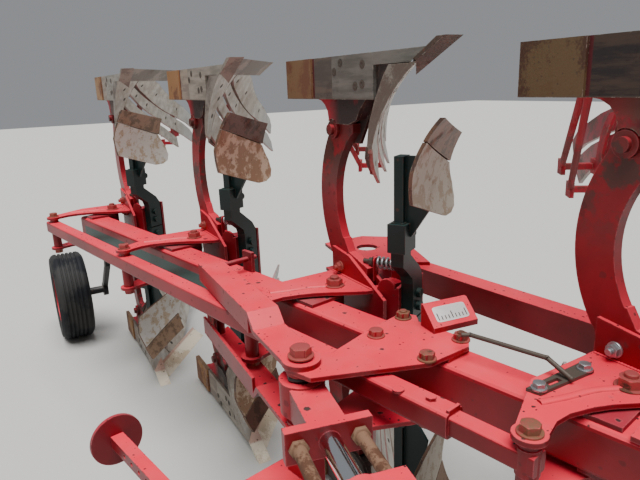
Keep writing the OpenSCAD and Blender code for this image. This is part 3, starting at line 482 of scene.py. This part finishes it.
def boardColour(tree, place, look):
    # a slat's front is scoured along the soil's path, its back keeps faded red paint, and bare steel near the shin
    face = put(tree, "facing")
    path = stretched(tree, coords(tree), (0, 0, machine["shareTurn"]), (3.0, 30.0, 22.0))
    streak = noise(tree, path, 1.0, 6, 0.62)
    blot = put(tree, "patches", Scale=4.5, Cover=0.62)
    fresh = mixColour(tree, ramp(tree, streak, 0.36, 0.66), (0.50, 0.47, 0.41), (0.32, 0.29, 0.245))
    fresh = mixColour(tree, both(tree, blot["Mask"], 0.5), fresh, (0.27, 0.21, 0.155))
    tip = both(tree, ramp(tree, place["Edge"], 1.02, 1.25), 0.7)
    fresh = mixColour(tree, tip, fresh, (0.42, 0.42, 0.41))
    back = mixColour(tree, blot["Mask"], (0.34, 0.04, 0.055), (0.12, 0.06, 0.045))
    edge = put(tree, "edgeWear", Radius=0.006)
    shin = mixColour(tree, blot["Mask"], (0.24, 0.21, 0.175), (0.13, 0.10, 0.08))
    back = mixColour(tree, ramp(tree, place["Edge"], 0.34, 0.28), back, shin)
    colour = mixColour(tree, face["Soil"], back, fresh)
    return mixColour(tree, both(tree, edge["Edge"], 0.35), colour, (0.20, 0.15, 0.11))


def shareColour(tree, place, look):
    # light and rubbed on the lower body, dried soil on the upper one, a red rest along the board's joint
    blot = put(tree, "patches", Scale=5.0, Cover=0.7)
    specks = put(tree, "chips", Scale=60.0, Share=0.6)
    colour = mixColour(tree, blot["Mask"], (0.78, 0.69, 0.54), (0.58, 0.46, 0.32))
    soiled = mixColour(tree, blot["Mask"], look["shareTop"], tuple(v * 0.6 for v in look["shareTop"]))
    colour = mixColour(tree, place["Above"], colour, soiled)
    cover = calc(tree, "SUBTRACT", 0.55, calc(tree, "MULTIPLY", place["Above"], 0.5))
    joint = both(tree, ramp(tree, place["Depth"], 0.818, 0.812), cover)
    colour = mixColour(tree, joint, colour, (0.30, 0.05, 0.045))
    return mixColour(tree, both(tree, specks["Mask"], 0.8), colour, (0.13, 0.06, 0.035))


# the skimmer's edge from the pivot, and the line between blade and spade: its slope and rise over that edge
skimmerLine = {"turn": math.radians(60), "tip": (0.497, 0.039), "depth": 0.668, "slope": 0.298, "rise": 0.0595}


def skimmerColour(tree, place, look):
    # the cutting blade lies farthest from the beam, the spade-shaped board nearer to it
    face = put(tree, "facing")
    blot = put(tree, "patches", Scale=24.0, Cover=0.6)
    specks = put(tree, "chips", Scale=90.0, Share=0.4)
    spade = mixColour(tree, blot["Mask"], look["spade"], look["spadeSpot"])
    blade = mixColour(tree, blot["Mask"], look["blade"], tuple(v * 0.55 for v in look["blade"]))
    line = skimmerLine
    aside = calc(tree, "MULTIPLY", calc(tree, "SUBTRACT", place["Y"], line["tip"][1]), math.sin(line["turn"]))
    ahead = calc(tree, "MULTIPLY", calc(tree, "SUBTRACT", place["X"], line["tip"][0]), math.cos(line["turn"]))
    along = calc(tree, "SUBTRACT", aside, ahead)
    height = calc(tree, "SUBTRACT", line["depth"], place["Depth"])
    over = calc(tree, "SUBTRACT", height, calc(tree, "MULTIPLY_ADD", along, line["slope"], line["rise"]))
    colour = mixColour(tree, ramp(tree, over, -0.002, 0.002), blade, spade)
    colour = mixColour(tree, both(tree, specks["Mask"], 0.75), colour, (0.12, 0.05, 0.03))
    back = mixColour(tree, blot["Mask"], (0.14, 0.075, 0.045), (0.07, 0.04, 0.03))
    return mixColour(tree, face["Soil"], back, colour)


def frogColour(tree, place, look):
    # nearly black with soil and grease, rests of red paint, and red slat strips behind
    blot = put(tree, "patches", Scale=6.0, Cover=0.6)
    edge = put(tree, "edgeWear", Radius=0.006)
    colour = mixColour(tree, blot["Mask"], (0.028, 0.018, 0.016), (0.085, 0.050, 0.036))
    cloud = noise(tree, coords(tree), 5.0, 5, 0.6)
    red = both(tree, ramp(tree, cloud, 0.55, 0.61), ramp(tree, place["Depth"], 0.80, 0.70))
    colour = mixColour(tree, both(tree, red, 0.6), colour, (0.20, 0.008, 0.014))
    far = both(tree, ramp(tree, place["Edge"], 0.42, 0.50), ramp(tree, place["Depth"], 0.815, 0.80))
    colour = mixColour(tree, far, colour, mixColour(tree, blot["Mask"], (0.40, 0.016, 0.032), (0.20, 0.03, 0.03)))
    return mixColour(tree, both(tree, edge["Edge"], 0.3), colour, (0.20, 0.13, 0.09))


legStains = {1: 0.30, 2: 0.28, 3: 0.12, 4: 0.28}  # how far from the beam's height the stain starts


def legStain(i):
    # rust and grease run down the leg from the frog, most on its rear edge
    def zone(tree, colour, bare):
        place = seenFrom(tree, i)
        ahead = split(tree, coords(tree, "Normal"))[0]
        rear = calc(tree, "MULTIPLY", ramp(tree, ahead, -0.2, -0.9), 0.16)
        cloud = calc(tree, "ADD", noise(tree, coords(tree), 11, 6, 0.65), rear)
        high = ramp(tree, place["Depth"], legStains[i], legStains[i] + 0.25)
        mask = both(tree, high, ramp(tree, cloud, 0.45, 0.54))
        mask = calc(tree, "MAXIMUM", mask, both(tree, ramp(tree, place["Depth"], 0.55, 0.60), 0.55))
        return mixColour(tree, both(tree, mask, 0.9), colour, (0.055, 0.028, 0.022))
    return zone


# the band's ends along the beam, its upper edge from the beam's middle, and its colour
band = {"ends": (-2.90, -1.53), "soft": 0.004, "top": (0.018, 0.016), "colour": (0.008, 0.040, 0.034),
        "chip": (0.10, 0.02, 0.02)}


def beamBand(tree, colour, bare):
    # a dark green band along the beam's near side, under a red one
    x, y, z = split(tree, coords(tree))
    nx, ny = split(tree, coords(tree, "Normal"))[:2]
    side = calc(tree, "SUBTRACT", calc(tree, "MULTIPLY", nx, sinBeam), calc(tree, "MULTIPLY", ny, cosBeam))
    along = calc(tree, "MULTIPLY_ADD", calc(tree, "SUBTRACT", x, float(base[0])), cosBeam,
                 calc(tree, "MULTIPLY", calc(tree, "SUBTRACT", y, float(base[1])), sinBeam))
    rear, front = band["ends"]
    low = ramp(tree, z, *[machine["base"][2] + h for h in band["top"]])
    mask = both(tree, ramp(tree, side, 0.6, 0.8), low)
    ends = both(tree, ramp(tree, along, front, front - band["soft"]), ramp(tree, along, rear, rear + band["soft"]))
    green = mixColour(tree, bare, band["colour"], band["chip"])
    return mixColour(tree, both(tree, mask, ends), colour, green)


paints = {name: paintedSteel(name, f) for name, f in finishes.items()}
paints.update({name: bareSteel(name, s) for name, s in steels.items()})
paints["tyreRubber"] = tyreRubber()
paints["beamPaint"] = paintedSteel("beamPaint", finishes["redPaint"], beamBand)
for i in bodyLooks:
    paints[f"legs_{i}"] = paintedSteel(f"legPaint{i}", finishes["redPaint"], legStain(i))
    paints[f"landsides_{i}"] = soilSteel(f"landsideSteel{i}", i, landsideColour, 0.62, 0.1)
    paints[f"moldboards_{i}"] = soilSteel(f"boardSteel{i}", i, boardColour, 0.46, 0.25)
    paints[f"shares_{i}"] = soilSteel(f"shareSteel{i}", i, shareColour, 0.6, 0.15)
    paints[f"skimmer_blades_{i}"] = soilSteel(f"skimmerSteel{i}", i, skimmerColour, 0.5, 0.2)
    paints[f"frogs_{i}"] = soilSteel(f"frogSteel{i}", i, frogColour, 0.66, 0.1)
print("materials made:", len(paints))

# which finish each kind of node wears, by the first words of its name; the rest are plain red
nodeFinish = [
    ("skimmer_stalks", "greenPaint"), ("brace_adjuster", "shadedWornRedPaint"), ("stand_foot", "shadedWornRedPaint"),
    ("tyre", "tyreRubber"), ("wheel_arm", "blackPaint"), ("turnover_rod", "chromeRod"),
    ("width_pointer", "darkSteel"), ("beam_pivots", "shadedWornRedPaint"), ("beam", "beamPaint"),
]


def dressNodes():
    for name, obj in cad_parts.items():
        finish = name if name in paints else next((f for start, f in nodeFinish if name.startswith(start)), "redPaint")
        obj.data.materials.clear()
        obj.data.materials.append(paints[finish])


dressNodes()
print("nodes dressed")


# new pieces: whole arrays of points, row by row, joined into one mesh
def gridFaces(rows, cols):
    # the quads of a grid whose columns close on themselves
    row = np.arange(rows - 1)[:, None] * cols
    col = np.arange(cols)[None, :]
    nextCol = (col + 1) % cols
    return np.stack([row + col, row + nextCol, row + cols + nextCol, row + cols + col], -1).reshape(-1, 4)


def unit(v):
    # vectors divided by their length
    v = np.asarray(v, float)
    return v / np.linalg.norm(v, axis=-1, keepdims=True)


def crossFrame(axis):
    # two directions square to an axis and to each other, and the axis
    axis = unit(axis)
    helper = np.array((0, 0, 1.0)) if abs(axis[2]) < 0.9 else np.array((1.0, 0, 0))
    first = unit(np.cross(helper, axis))
    return first, np.cross(axis, first), axis


def turnedPart(place, axis, radii, heights, cols=24):
    # a surface of revolution: point = place + r cos(a) first + r sin(a) second + h axis,
    # with r and h given by rows, or by rows and columns
    first, second, axis = crossFrame(axis)
    turn = np.linspace(0, 2 * np.pi, cols, endpoint=False)[None, :]
    r = np.broadcast_to(np.asarray(radii, float).reshape(len(radii), -1), (len(radii), cols))
    h = np.broadcast_to(np.asarray(heights, float).reshape(len(radii), -1), (len(radii), cols))
    points = (np.asarray(place) + (r * np.cos(turn))[..., None] * first + (r * np.sin(turn))[..., None] * second
              + h[..., None] * axis)
    return points.reshape(-1, 3), gridFaces(len(radii), cols)


def hexBolt(place, axis, d, thread=0.0):
    # a washer, a hexagonal head with its corners turned off, and a dome or a thread's end on top;
    # the head's radius is its half width over the cosine of the angle to the nearest flat's middle
    turn = np.linspace(0, 2 * np.pi, 36, endpoint=False)
    corner = 0.9 * d + 0.0006
    hexR = corner * math.cos(np.pi / 6) / np.cos((turn + np.pi / 6) % (np.pi / 3) - np.pi / 6)
    top = 0.004 + 0.7 * d
    cut = top - 0.55 * (hexR - 0.95 * corner * math.cos(np.pi / 6))
    one = np.ones_like(turn)
    rows = [(0, 0), (1.1 * d + 0.0004, 0), (1.12 * d, 0.001), (1.12 * d, 0.0036), (1.08 * d, 0.0046)]
    radii = [r * one for r, h in rows] + [hexR, hexR, 0.95 * corner * math.cos(np.pi / 6) * one]
    heights = [h * one for r, h in rows] + [0.0046 * one, cut + 0.0008, (top + 0.0008) * one]
    if thread:
        radii += [0.5 * d * one, 0.5 * d * one, 0.42 * d * one, 0 * one]
        heights += [(top + 0.0008) * one, (top + thread) * one, (top + thread + 0.08 * d) * one,
                    (top + thread + 0.08 * d) * one]
    else:
        radii += [0.45 * d * one, 0 * one]
        heights += [(top + 0.0014) * one, (top + 0.002) * one]
    return turnedPart(place, axis, np.array(radii), np.array(heights), 36)


def flushBolt(place, axis, d, rise=0.0016):
    # a plough bolt: a low dome with a worn square in it
    radii = [0, 0.5 * d, 0.5 * d, 0.44 * d, 0.2 * d, 0.16 * d, 0]
    heights = [-0.002, -0.002, rise * 0.5, rise, rise, rise * 0.2, rise * 0.2]
    return turnedPart(place, axis, radii, heights, 16)


def tubeAlong(path, width, height=None, up=(0, 0, 1), cols=10):
    # an oval section carried along a path: point = path + width cos(a) side + height sin(a) over,
    # with half sizes as one value or one per point, and both ends closed on the path
    path = np.asarray(path, float)
    n = len(path)
    width = np.broadcast_to(np.asarray(width, float), n).copy()
    height = width.copy() if height is None else np.broadcast_to(np.asarray(height, float), n).copy()
    ahead = unit(np.gradient(path, axis=0))
    side = unit(np.cross(ahead, np.broadcast_to(np.asarray(up, float), path.shape)))
    over = np.cross(side, ahead)
    path = np.concatenate([path[:1], path, path[-1:]])
    side = np.concatenate([side[:1], side, side[-1:]])
    over = np.concatenate([over[:1], over, over[-1:]])
    width = np.concatenate([[0], width, [0]])
    height = np.concatenate([[0], height, [0]])
    turn = np.linspace(0, 2 * np.pi, cols, endpoint=False)
    points = (path[:, None, :] + (width[:, None] * np.cos(turn))[..., None] * side[:, None, :]
              + (height[:, None] * np.sin(turn))[..., None] * over[:, None, :])
    return points.reshape(-1, 3), gridFaces(len(path), cols)


def smoothPath(points, count):
    # a rounded line through a few points, by weighted sums of each four neighbours
    p = np.asarray(points, float)
    p = np.concatenate([2 * p[:1] - p[1:2], p, 2 * p[-1:] - p[-2:-1]])
    t = np.linspace(0, len(points) - 1 - 1e-9, count)
    k = t.astype(int)
    f = (t - k)[:, None]
    a, b, c, d = p[k], p[k + 1], p[k + 2], p[k + 3]
    return 0.5 * (2 * b + (c - a) * f + (2 * a - 5 * b + 4 * c - d) * f ** 2 + (3 * b - a - 3 * c + d) * f ** 3)


threadDepth = 0.02  # of the diameter, so that the spindles run through their holes


def threadedPart(place, axis, d, length, pitch):
    # a screw thread: radius = d / 2 plus a triangle wave of height / pitch - turn
    rows = int(length / pitch * 6)
    h = np.linspace(0, length, rows)[:, None]
    turn = np.linspace(0, 2 * np.pi, 20, endpoint=False)[None, :]
    wave = np.abs(((h / pitch - turn / (2 * np.pi)) % 1.0) - 0.5) * 2
    r = d / 2 + wave * threadDepth * d
    r = np.concatenate([np.zeros((1, 20)), r, np.zeros((1, 20))])
    h = np.broadcast_to(np.concatenate([h[:1], h, h[-1:]]), r.shape)
    return turnedPart(place, axis, r, h, 20)


def springPart(start, axis, coil, wire, turns, length):
    # a wire carried along a screw line: coil cos(a) first + coil sin(a) second + length t axis
    first, second, axis = crossFrame(axis)
    t = np.linspace(0, 1, int(turns * 20))
    angle = 2 * np.pi * turns * t
    path = (np.asarray(start) + coil * np.cos(angle)[:, None] * first + coil * np.sin(angle)[:, None] * second
            + (length * t)[:, None] * axis)
    return tubeAlong(path, wire, up=axis, cols=8)


def weldBead(points, size=0.004, count=60):
    # a bead along a seam, its size rippled by a sine of the point's number
    path = smoothPath(points, count)
    ripple = size * (1 + 0.16 * np.sin(np.arange(count) * 2.1))
    return tubeAlong(path, ripple, ripple * 0.8, cols=8)


def addPiece(name, parts, finish, body, sharp=32):
    # joins the parts into one mesh with closed seams and outward faces, and sets its body
    points = np.concatenate([p for p, f in parts])
    starts = np.cumsum([0] + [len(p) for p, f in parts[:-1]])
    faces = np.concatenate([f + s for (p, f), s in zip(parts, starts)])
    mesh = bpy.data.meshes.new(name)
    mesh.from_pydata(points.tolist(), [], faces.tolist())
    bm = bmesh.new()
    bm.from_mesh(mesh)
    bmesh.ops.remove_doubles(bm, verts=bm.verts, dist=2e-6)
    bmesh.ops.recalc_face_normals(bm, faces=bm.faces)
    bm.to_mesh(mesh)
    bm.free()
    mesh.shade_smooth()
    mesh.set_sharp_from_angle(angle=math.radians(sharp))
    mesh.materials.append(paints[finish])
    obj = bpy.data.objects.new(name, mesh)
    bpy.context.scene.collection.objects.link(obj)
    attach(obj, body)
    return obj


upDown = [(1, np.array((0, 0, 1.0))), (-1, np.array((0, 0, -1.0)))]

# bolts and pins of the brackets, above and below the beam's height
bracketBolts = {"plateTop": 0.092, "crank": 0.315, "pivot": 0.030, "pin": 0.024, "clampBolt": 0.022 * 0.82,
                "clamps": [(-0.095, 0.120), (-0.020, 0.060)], "clampNear": 0.083, "clampFar": 0.137}


def addBracketBolts(i):
    p = pivotPlace(i)
    b = bracketBolts
    parts, nuts = [], []
    for sign, up in upDown:
        z = sign * b["plateTop"]
        parts.append(hexBolt(p + (0, 0, z), up, b["pivot"], 0.008))
        parts.append(hexBolt(p + (0, -b["crank"], z), up, b["pin"]))
        for x, depth in b["clamps"]:
            nuts.append(hexBolt(p + (x, b["clampNear"], sign * depth), (0, -1, 0), b["clampBolt"], 0.010))
            nuts.append(hexBolt(p + (x, b["clampFar"], sign * depth), (0, 1, 0), b["clampBolt"], 0.006))
    addPiece(f"bracketBolts{i}", parts, "boltRust", f"body_{i}")
    finish, slot = ("zincPlate", "zinc") if i == 1 else ("boltRust", "rusty_steel")
    addPiece(f"clampNuts{i}", nuts, finish, f"body_{i}")


# the raised bead pressed into each bracket plate, as places from the pivot
pressBead = {"points": [(-0.010, 0.048), (0.014, 0.008), (-0.020, -0.070), (-0.036, -0.150), (-0.052, -0.215)],
             "shift": -0.010, "width": 0.010, "height": 0.006}


def addPressBead(i):
    p = pivotPlace(i)
    parts = []
    for sign, up in upDown:
        line = [p + (x + pressBead["shift"], y, sign * bracketBolts["plateTop"]) for x, y in pressBead["points"]]
        parts.append(tubeAlong(smoothPath(line, 50), pressBead["width"], pressBead["height"]))
    addPiece(f"bracketBead{i}", parts, "redPaint", f"body_{i}", 50)


# plough bolts, as places from the pivot and heights, and along the share's edge and heights
wearBolts = {"landside": [(-0.042, 0.819), (-0.081, 0.793), (0.085, 0.810), (0.083, 0.752), (0.044, 0.747)],
             "board": [(0.200, 0.100), (0.255, 0.150), (0.250, 0.220), (0.380, 0.082), (0.640, 0.135),
                       (1.040, 0.238), (0.380, 0.135), (0.560, 0.190), (0.880, 0.285), (0.530, 0.275), (0.700, 0.320),
                       (0.500, 0.380), (1.040, 0.335)],
             "landsideSize": 0.027, "boardSize": 0.020,
             # the board is a cylinder of this radius, its axis given square to the share's edge and in height
             "radius": 0.430, "axisAhead": 0.430 * math.sin(math.radians(38)) - 0.040,
             "axisHeight": 0.430 * math.cos(math.radians(38)) + 0.030}


def fromShare(i, u, v, h, sign):
    # u runs back along the share's edge, v square to it, h is the height over the ground of the lower body
    p = pivotPlace(i)
    tip = machine["shareTip"]
    return np.array((p[0] + tip[0] - cosShare * u + sinShare * v, p[1] + tip[1] + sinShare * u + cosShare * v,
                     base[2] + sign * (base[2] - h)))


def addWearBolts(i):
    w = wearBolts
    p = pivotPlace(i)
    parts = []
    for sign, up in upDown:
        for x, depth in w["landside"]:
            parts.append(flushBolt(p + (x, machine["shareTip"][1], sign * depth), (0, -1, 0), w["landsideSize"]))
        for u, h in w["board"]:
            v = w["axisAhead"] - math.sqrt(w["radius"] ** 2 - (h - w["axisHeight"]) ** 2)
            out = np.array((sinShare * (w["axisAhead"] - v), cosShare * (w["axisAhead"] - v),
                            -sign * (w["axisHeight"] - h)))
            parts.append(flushBolt(fromShare(i, u, v, h, sign), out, w["boardSize"], 0.001))
    addPiece(f"ploughBolts{i}", parts, "darkSteel", f"body_{i}")


for i in bodyLooks:
    addBracketBolts(i)
    addPressBead(i)
    addWearBolts(i)

# the two bolts that hold the width pointer's slotted bar, as places from pivot 1
pointerBolts = {"places": [(-0.094, -0.180, 0.099), (-0.096, -0.024, 0.099)], "size": 0.016}
addPiece("pointerBolts", [hexBolt(base + spot, (0, 0, 1), pointerBolts["size"]) for spot in pointerBolts["places"]],
         "zincPlate", "body_1")
print("bolts of the bodies made")

# the bolts that hold the carrier plates and the yoke's pin, in beam axes
carrier = {"bolts": [(-0.589, -0.182), (-0.616, -0.036), (-0.406, -0.193), (-0.409, -0.044)], "top": 0.084,
           "yoke": (-0.616, -0.428), "yokeTop": 0.104,
           "size": 0.022, "yokeSize": 0.030}


def addCarrierBolts():
    parts = [hexBolt(fromBeam(s, t, sign * carrier["top"]), up, carrier["size"], 0.004 if t > -0.1 else 0.0)
             for s, t in carrier["bolts"] for sign, up in upDown]
    parts.append(hexBolt(fromBeam(*carrier["yoke"], carrier["yokeTop"]), (0, 0, 1), carrier["yokeSize"]))
    addPiece("carrierBolts", parts, "boltRust", "beam")


addCarrierBolts()

# the width cylinder: threads on the stop spindles, the rod's gland and a greased collar on the post
cylinder = {"turn": math.radians(-11.6), "spindles": (-0.072, 0.072), "thread": 0.0303, "pitch": 0.004,
            "from": 0.217, "to": 0.382, "gland": 0.394, "rod": 0.050}

# flat six-sided lock nuts, low enough to stay clear of the barrel when the rod is drawn in
lockNut = {"at": 0.2155, "radii": [0, 0.022, 0.0235, 0.0235, 0.022, 0],
           "heights": [0, 0, 0.0015, 0.0105, 0.012, 0.012]}


def onCylinder(s, t, z=0.0):
    yoke = fromBeam(*carrier["yoke"])
    c, n = math.cos(cylinder["turn"]), math.sin(cylinder["turn"])
    return yoke + np.array((s * c - t * n, s * n + t * c, z))


def addCylinderDetail():
    c = cylinder
    along = onCylinder(1, 0) - onCylinder(0, 0)
    threads = [threadedPart(onCylinder(c["from"], t), along, c["thread"], c["to"] - c["from"], c["pitch"])
               for t in c["spindles"]]
    threads += [turnedPart(onCylinder(lockNut["at"], t), along, lockNut["radii"], lockNut["heights"], 6)
                for t in c["spindles"]]
    addPiece("stopThreads", threads, "rusty", "width_yoke", 60)
    r = c["rod"] / 2
    ring = turnedPart(onCylinder(c["gland"], 0), -along,
                      [r + 0.002, r + 0.014, r + 0.014, r + 0.009, r + 0.002, r + 0.002],
                      [-0.004, -0.004, 0.003, 0.006, 0.006, -0.004], 40)
    addPiece("widthRodGland", [ring], "darkSteel", "width_barrel")
    turn = np.linspace(0, 2 * np.pi, 40, endpoint=False)
    lump = 0.0025 * np.sin(3 * turn + 0.6) + 0.0015 * np.sin(7 * turn)
    bore = 0 * turn + 0.0252
    radii = np.stack([bore, 0.035 + lump, 0.039 + lump, 0.036 + lump, bore, bore])
    heights = np.stack([0 * turn + k for k in (0.0465, 0.0470, 0.0520, 0.0575, 0.0590, 0.0465)])
    collar = turnedPart(onCylinder(0, 0), (0, 0, 1), radii, heights, 40)
    addPiece("greasedCollar", [collar], "greasedRubber", "beam")


def rodMask(tree):
    # the rod: ahead of the yoke's block and near the cylinder's axis, in the cylinder's own axes
    x, y = split(tree, coords(tree))[:2]
    start = onCylinder(0, 0)
    c, n = math.cos(cylinder["turn"]), math.sin(cylinder["turn"])
    x = calc(tree, "SUBTRACT", x, float(start[0]))
    y = calc(tree, "SUBTRACT", y, float(start[1]))
    ahead = calc(tree, "MULTIPLY_ADD", x, c, calc(tree, "MULTIPLY", y, n))
    aside = calc(tree, "ABSOLUTE", calc(tree, "SUBTRACT", calc(tree, "MULTIPLY", y, c), calc(tree, "MULTIPLY", x, n)))
    return both(tree, ramp(tree, ahead, 0.2161, 0.2164), ramp(tree, aside, 0.036, 0.034))


def dressYoke():
    # chrome where the yoke's node is the cylinder's rod, paint on the rest
    def chrome(tree, colour, bare):
        return mixColour(tree, rodMask(tree), colour, steels["chromeRod"]["base"])
    mat = paintedSteel("yokePaint", finishes["redPaint"], chrome)
    tree = mat.node_tree
    shader = tree.nodes["Principled BSDF"]
    rod = rodMask(tree)
    feed(tree, shader.inputs["Metallic"], rod)
    dull = shader.inputs["Roughness"].links[0].from_socket
    feed(tree, shader.inputs["Roughness"], both(tree, dull, calc(tree, "MULTIPLY_ADD", rod, -0.7, 1.0)))
    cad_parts["width_yoke"].data.materials[0] = mat


addCylinderDetail()
dressYoke()
print("width cylinder detailed")

# the sprung bolt between each leg's clamp and its skimmer arm, in the arm's own axes
sprungBolt = {"turn": math.radians(-60), "across": -0.082, "height": 0.168, "lug": 0.116, "from": 0.124, "to": 0.2275,
              "coil": 0.018, "wire": 0.0042, "turns": 6.5, "stem": 0.008}


def addSprungBolts(i):
    b = sprungBolt
    c, n = math.cos(b["turn"]), math.sin(b["turn"])
    axis = np.array((-n, c, 0.0))
    springs, bolts, lugs = [], [], []
    for sign, up in upDown:
        start = pivotPlace(i) + np.array((c * b["across"], n * b["across"], sign * b["height"]))
        length = b["to"] - b["from"]
        springs.append(springPart(start + axis * b["from"], axis, b["coil"], b["wire"], b["turns"], length))
        stem = [0, b["stem"], b["stem"], b["stem"] * 0.8, 0]
        end = b["to"] + 0.001
        bolts.append(turnedPart(start, axis, stem, [0.072, 0.072, end, end, end]))
        bolts.append(hexBolt(start + axis * (b["lug"] - 0.0065), -axis, 0.016, 0.014))
        foot = start + axis * b["lug"]
        foot[2] = base[2] + sign * 0.106
        tall = [foot + up * h for h in (0.0, 0.03, 0.055, 0.072, 0.080)]
        lugs.append(tubeAlong(tall, [0.020, 0.020, 0.020, 0.018, 0.011], 0.006, up=axis, cols=20))
    addPiece(f"holderSpring{i}", springs, "zincPlate", f"body_{i}")
    addPiece(f"holderBolt{i}", bolts, "darkSteel", f"body_{i}")
    addPiece(f"holderLug{i}", lugs, "redPaint", f"body_{i}")


for i in bodyLooks:
    addSprungBolts(i)

# the width scale: a white plate with plain marks on the wedge's sloping face
scale = {"corner": (-0.457, -0.166), "turn": math.radians(-6.2), "low": (0.0, 0.100), "high": (-0.056, 0.150),
         "length": 0.147, "plate": (0.054, 0.024), "marks": 9}


def platePart(centre, along, across, halfA, halfB, thick):
    # a flat plate with rounded corners, in rows from its middle over the rim and back:
    # x = halfA sign(cos a) |cos a| ^ 0.22, and y the same with halfB and the sine
    a, b = unit(along), unit(across)
    out = np.cross(a, b)
    turn = np.linspace(0, 2 * np.pi, 48, endpoint=False)
    x = np.sign(np.cos(turn)) * np.abs(np.cos(turn)) ** 0.22 * halfA
    y = np.sign(np.sin(turn)) * np.abs(np.sin(turn)) ** 0.22 * halfB
    share = np.array([0, 1, 1, 0.985, 0])[:, None]
    rise = np.array([0, 0, 0.7, 1, 1])[:, None] * thick
    points = (np.asarray(centre) + (share * x)[..., None] * a + (share * y)[..., None] * b + rise[..., None] * out)
    return points.reshape(-1, 3), gridFaces(5, 48)


def addScale():
    s = scale
    c, n = math.cos(s["turn"]), math.sin(s["turn"])
    along = np.array((-n, c, 0.0))
    back = s["high"][0] - s["low"][0]
    rise = np.array((back * c, back * n, s["high"][1] - s["low"][1]))
    middle = base + np.array((s["corner"][0], s["corner"][1], s["low"][1])) + rise * 0.5 + along * s["length"] / 2
    out = unit(np.cross(along, rise))
    out = out if out[2] > 0 else -out
    face = (along, unit(rise)) if np.cross(along, rise)[2] > 0 else (unit(rise), along)
    size = s["plate"] if face[0] is along else s["plate"][::-1]
    plate = platePart(middle, *face, *size, 0.0012)
    addPiece("scalePlate", [plate], "scaleWhite", "beam")
    marks = []
    for k in range(s["marks"]):
        spot = middle + out * 0.0011 + along * (k / (s["marks"] - 1) - 0.5) * 1.7 * s["plate"][0]
        tall = 0.011 if k % 4 == 0 else 0.006
        spot = spot - unit(rise) * (s["plate"][1] * 0.75 - tall)
        size = (0.0014, tall) if face[0] is along else (tall, 0.0014)
        marks.append(platePart(spot, *face, *size, 0.0006))
    addPiece("scaleMarks", marks, "greasedRubber", "beam")


addScale()

# weld seams: where each bracket plate meets the clamp, and round the yoke's post
welds = {"seam": [(-0.146, 0.0815), (-0.06, 0.0815), (0.02, 0.0815), (0.104, 0.0815)], "size": 0.0045, "top": 0.092}


def addWelds():
    for i in bodyLooks:
        p = pivotPlace(i)
        beads = []
        for sign, up in upDown:
            beads.append(weldBead([p + (x, y, sign * welds["top"]) for x, y in welds["seam"]], welds["size"], 90))
        addPiece(f"clampWelds{i}", beads, "redPaint", f"body_{i}", 60)
    turn = np.linspace(0, 2 * np.pi, 9)
    ring = [onCylinder(0.0375 * math.cos(a), 0.0375 * math.sin(a), 0.0715) for a in turn]
    addPiece("postWeld", [weldBead(ring, 0.003, 80)], "redPaint", "beam", 60)


addWelds()

# the depth wheel: a hub cap with its nuts on the outer side
hub = {"place": (-3.367, -0.858, -0.572), "nuts": 5, "circle": 0.070}


def addHub():
    centre = base + np.array(hub["place"])
    out = np.array((0, -1.0, 0))
    parts = [turnedPart(centre + out * 0.024, out, [0, 0.034, 0.034, 0.030, 0.018, 0],
                        [0, 0, 0.020, 0.028, 0.033, 0.034], 32)]
    for k in range(hub["nuts"]):
        a = 2 * math.pi * k / hub["nuts"]
        spot = centre + out * 0.0045 + hub["circle"] * np.array((math.cos(a), 0, math.sin(a)))
        parts.append(hexBolt(spot, out, 0.014, 0.008))
    addPiece("hubCap", parts, "darkSteel", "wheel")


addHub()
print("springs and hub made")
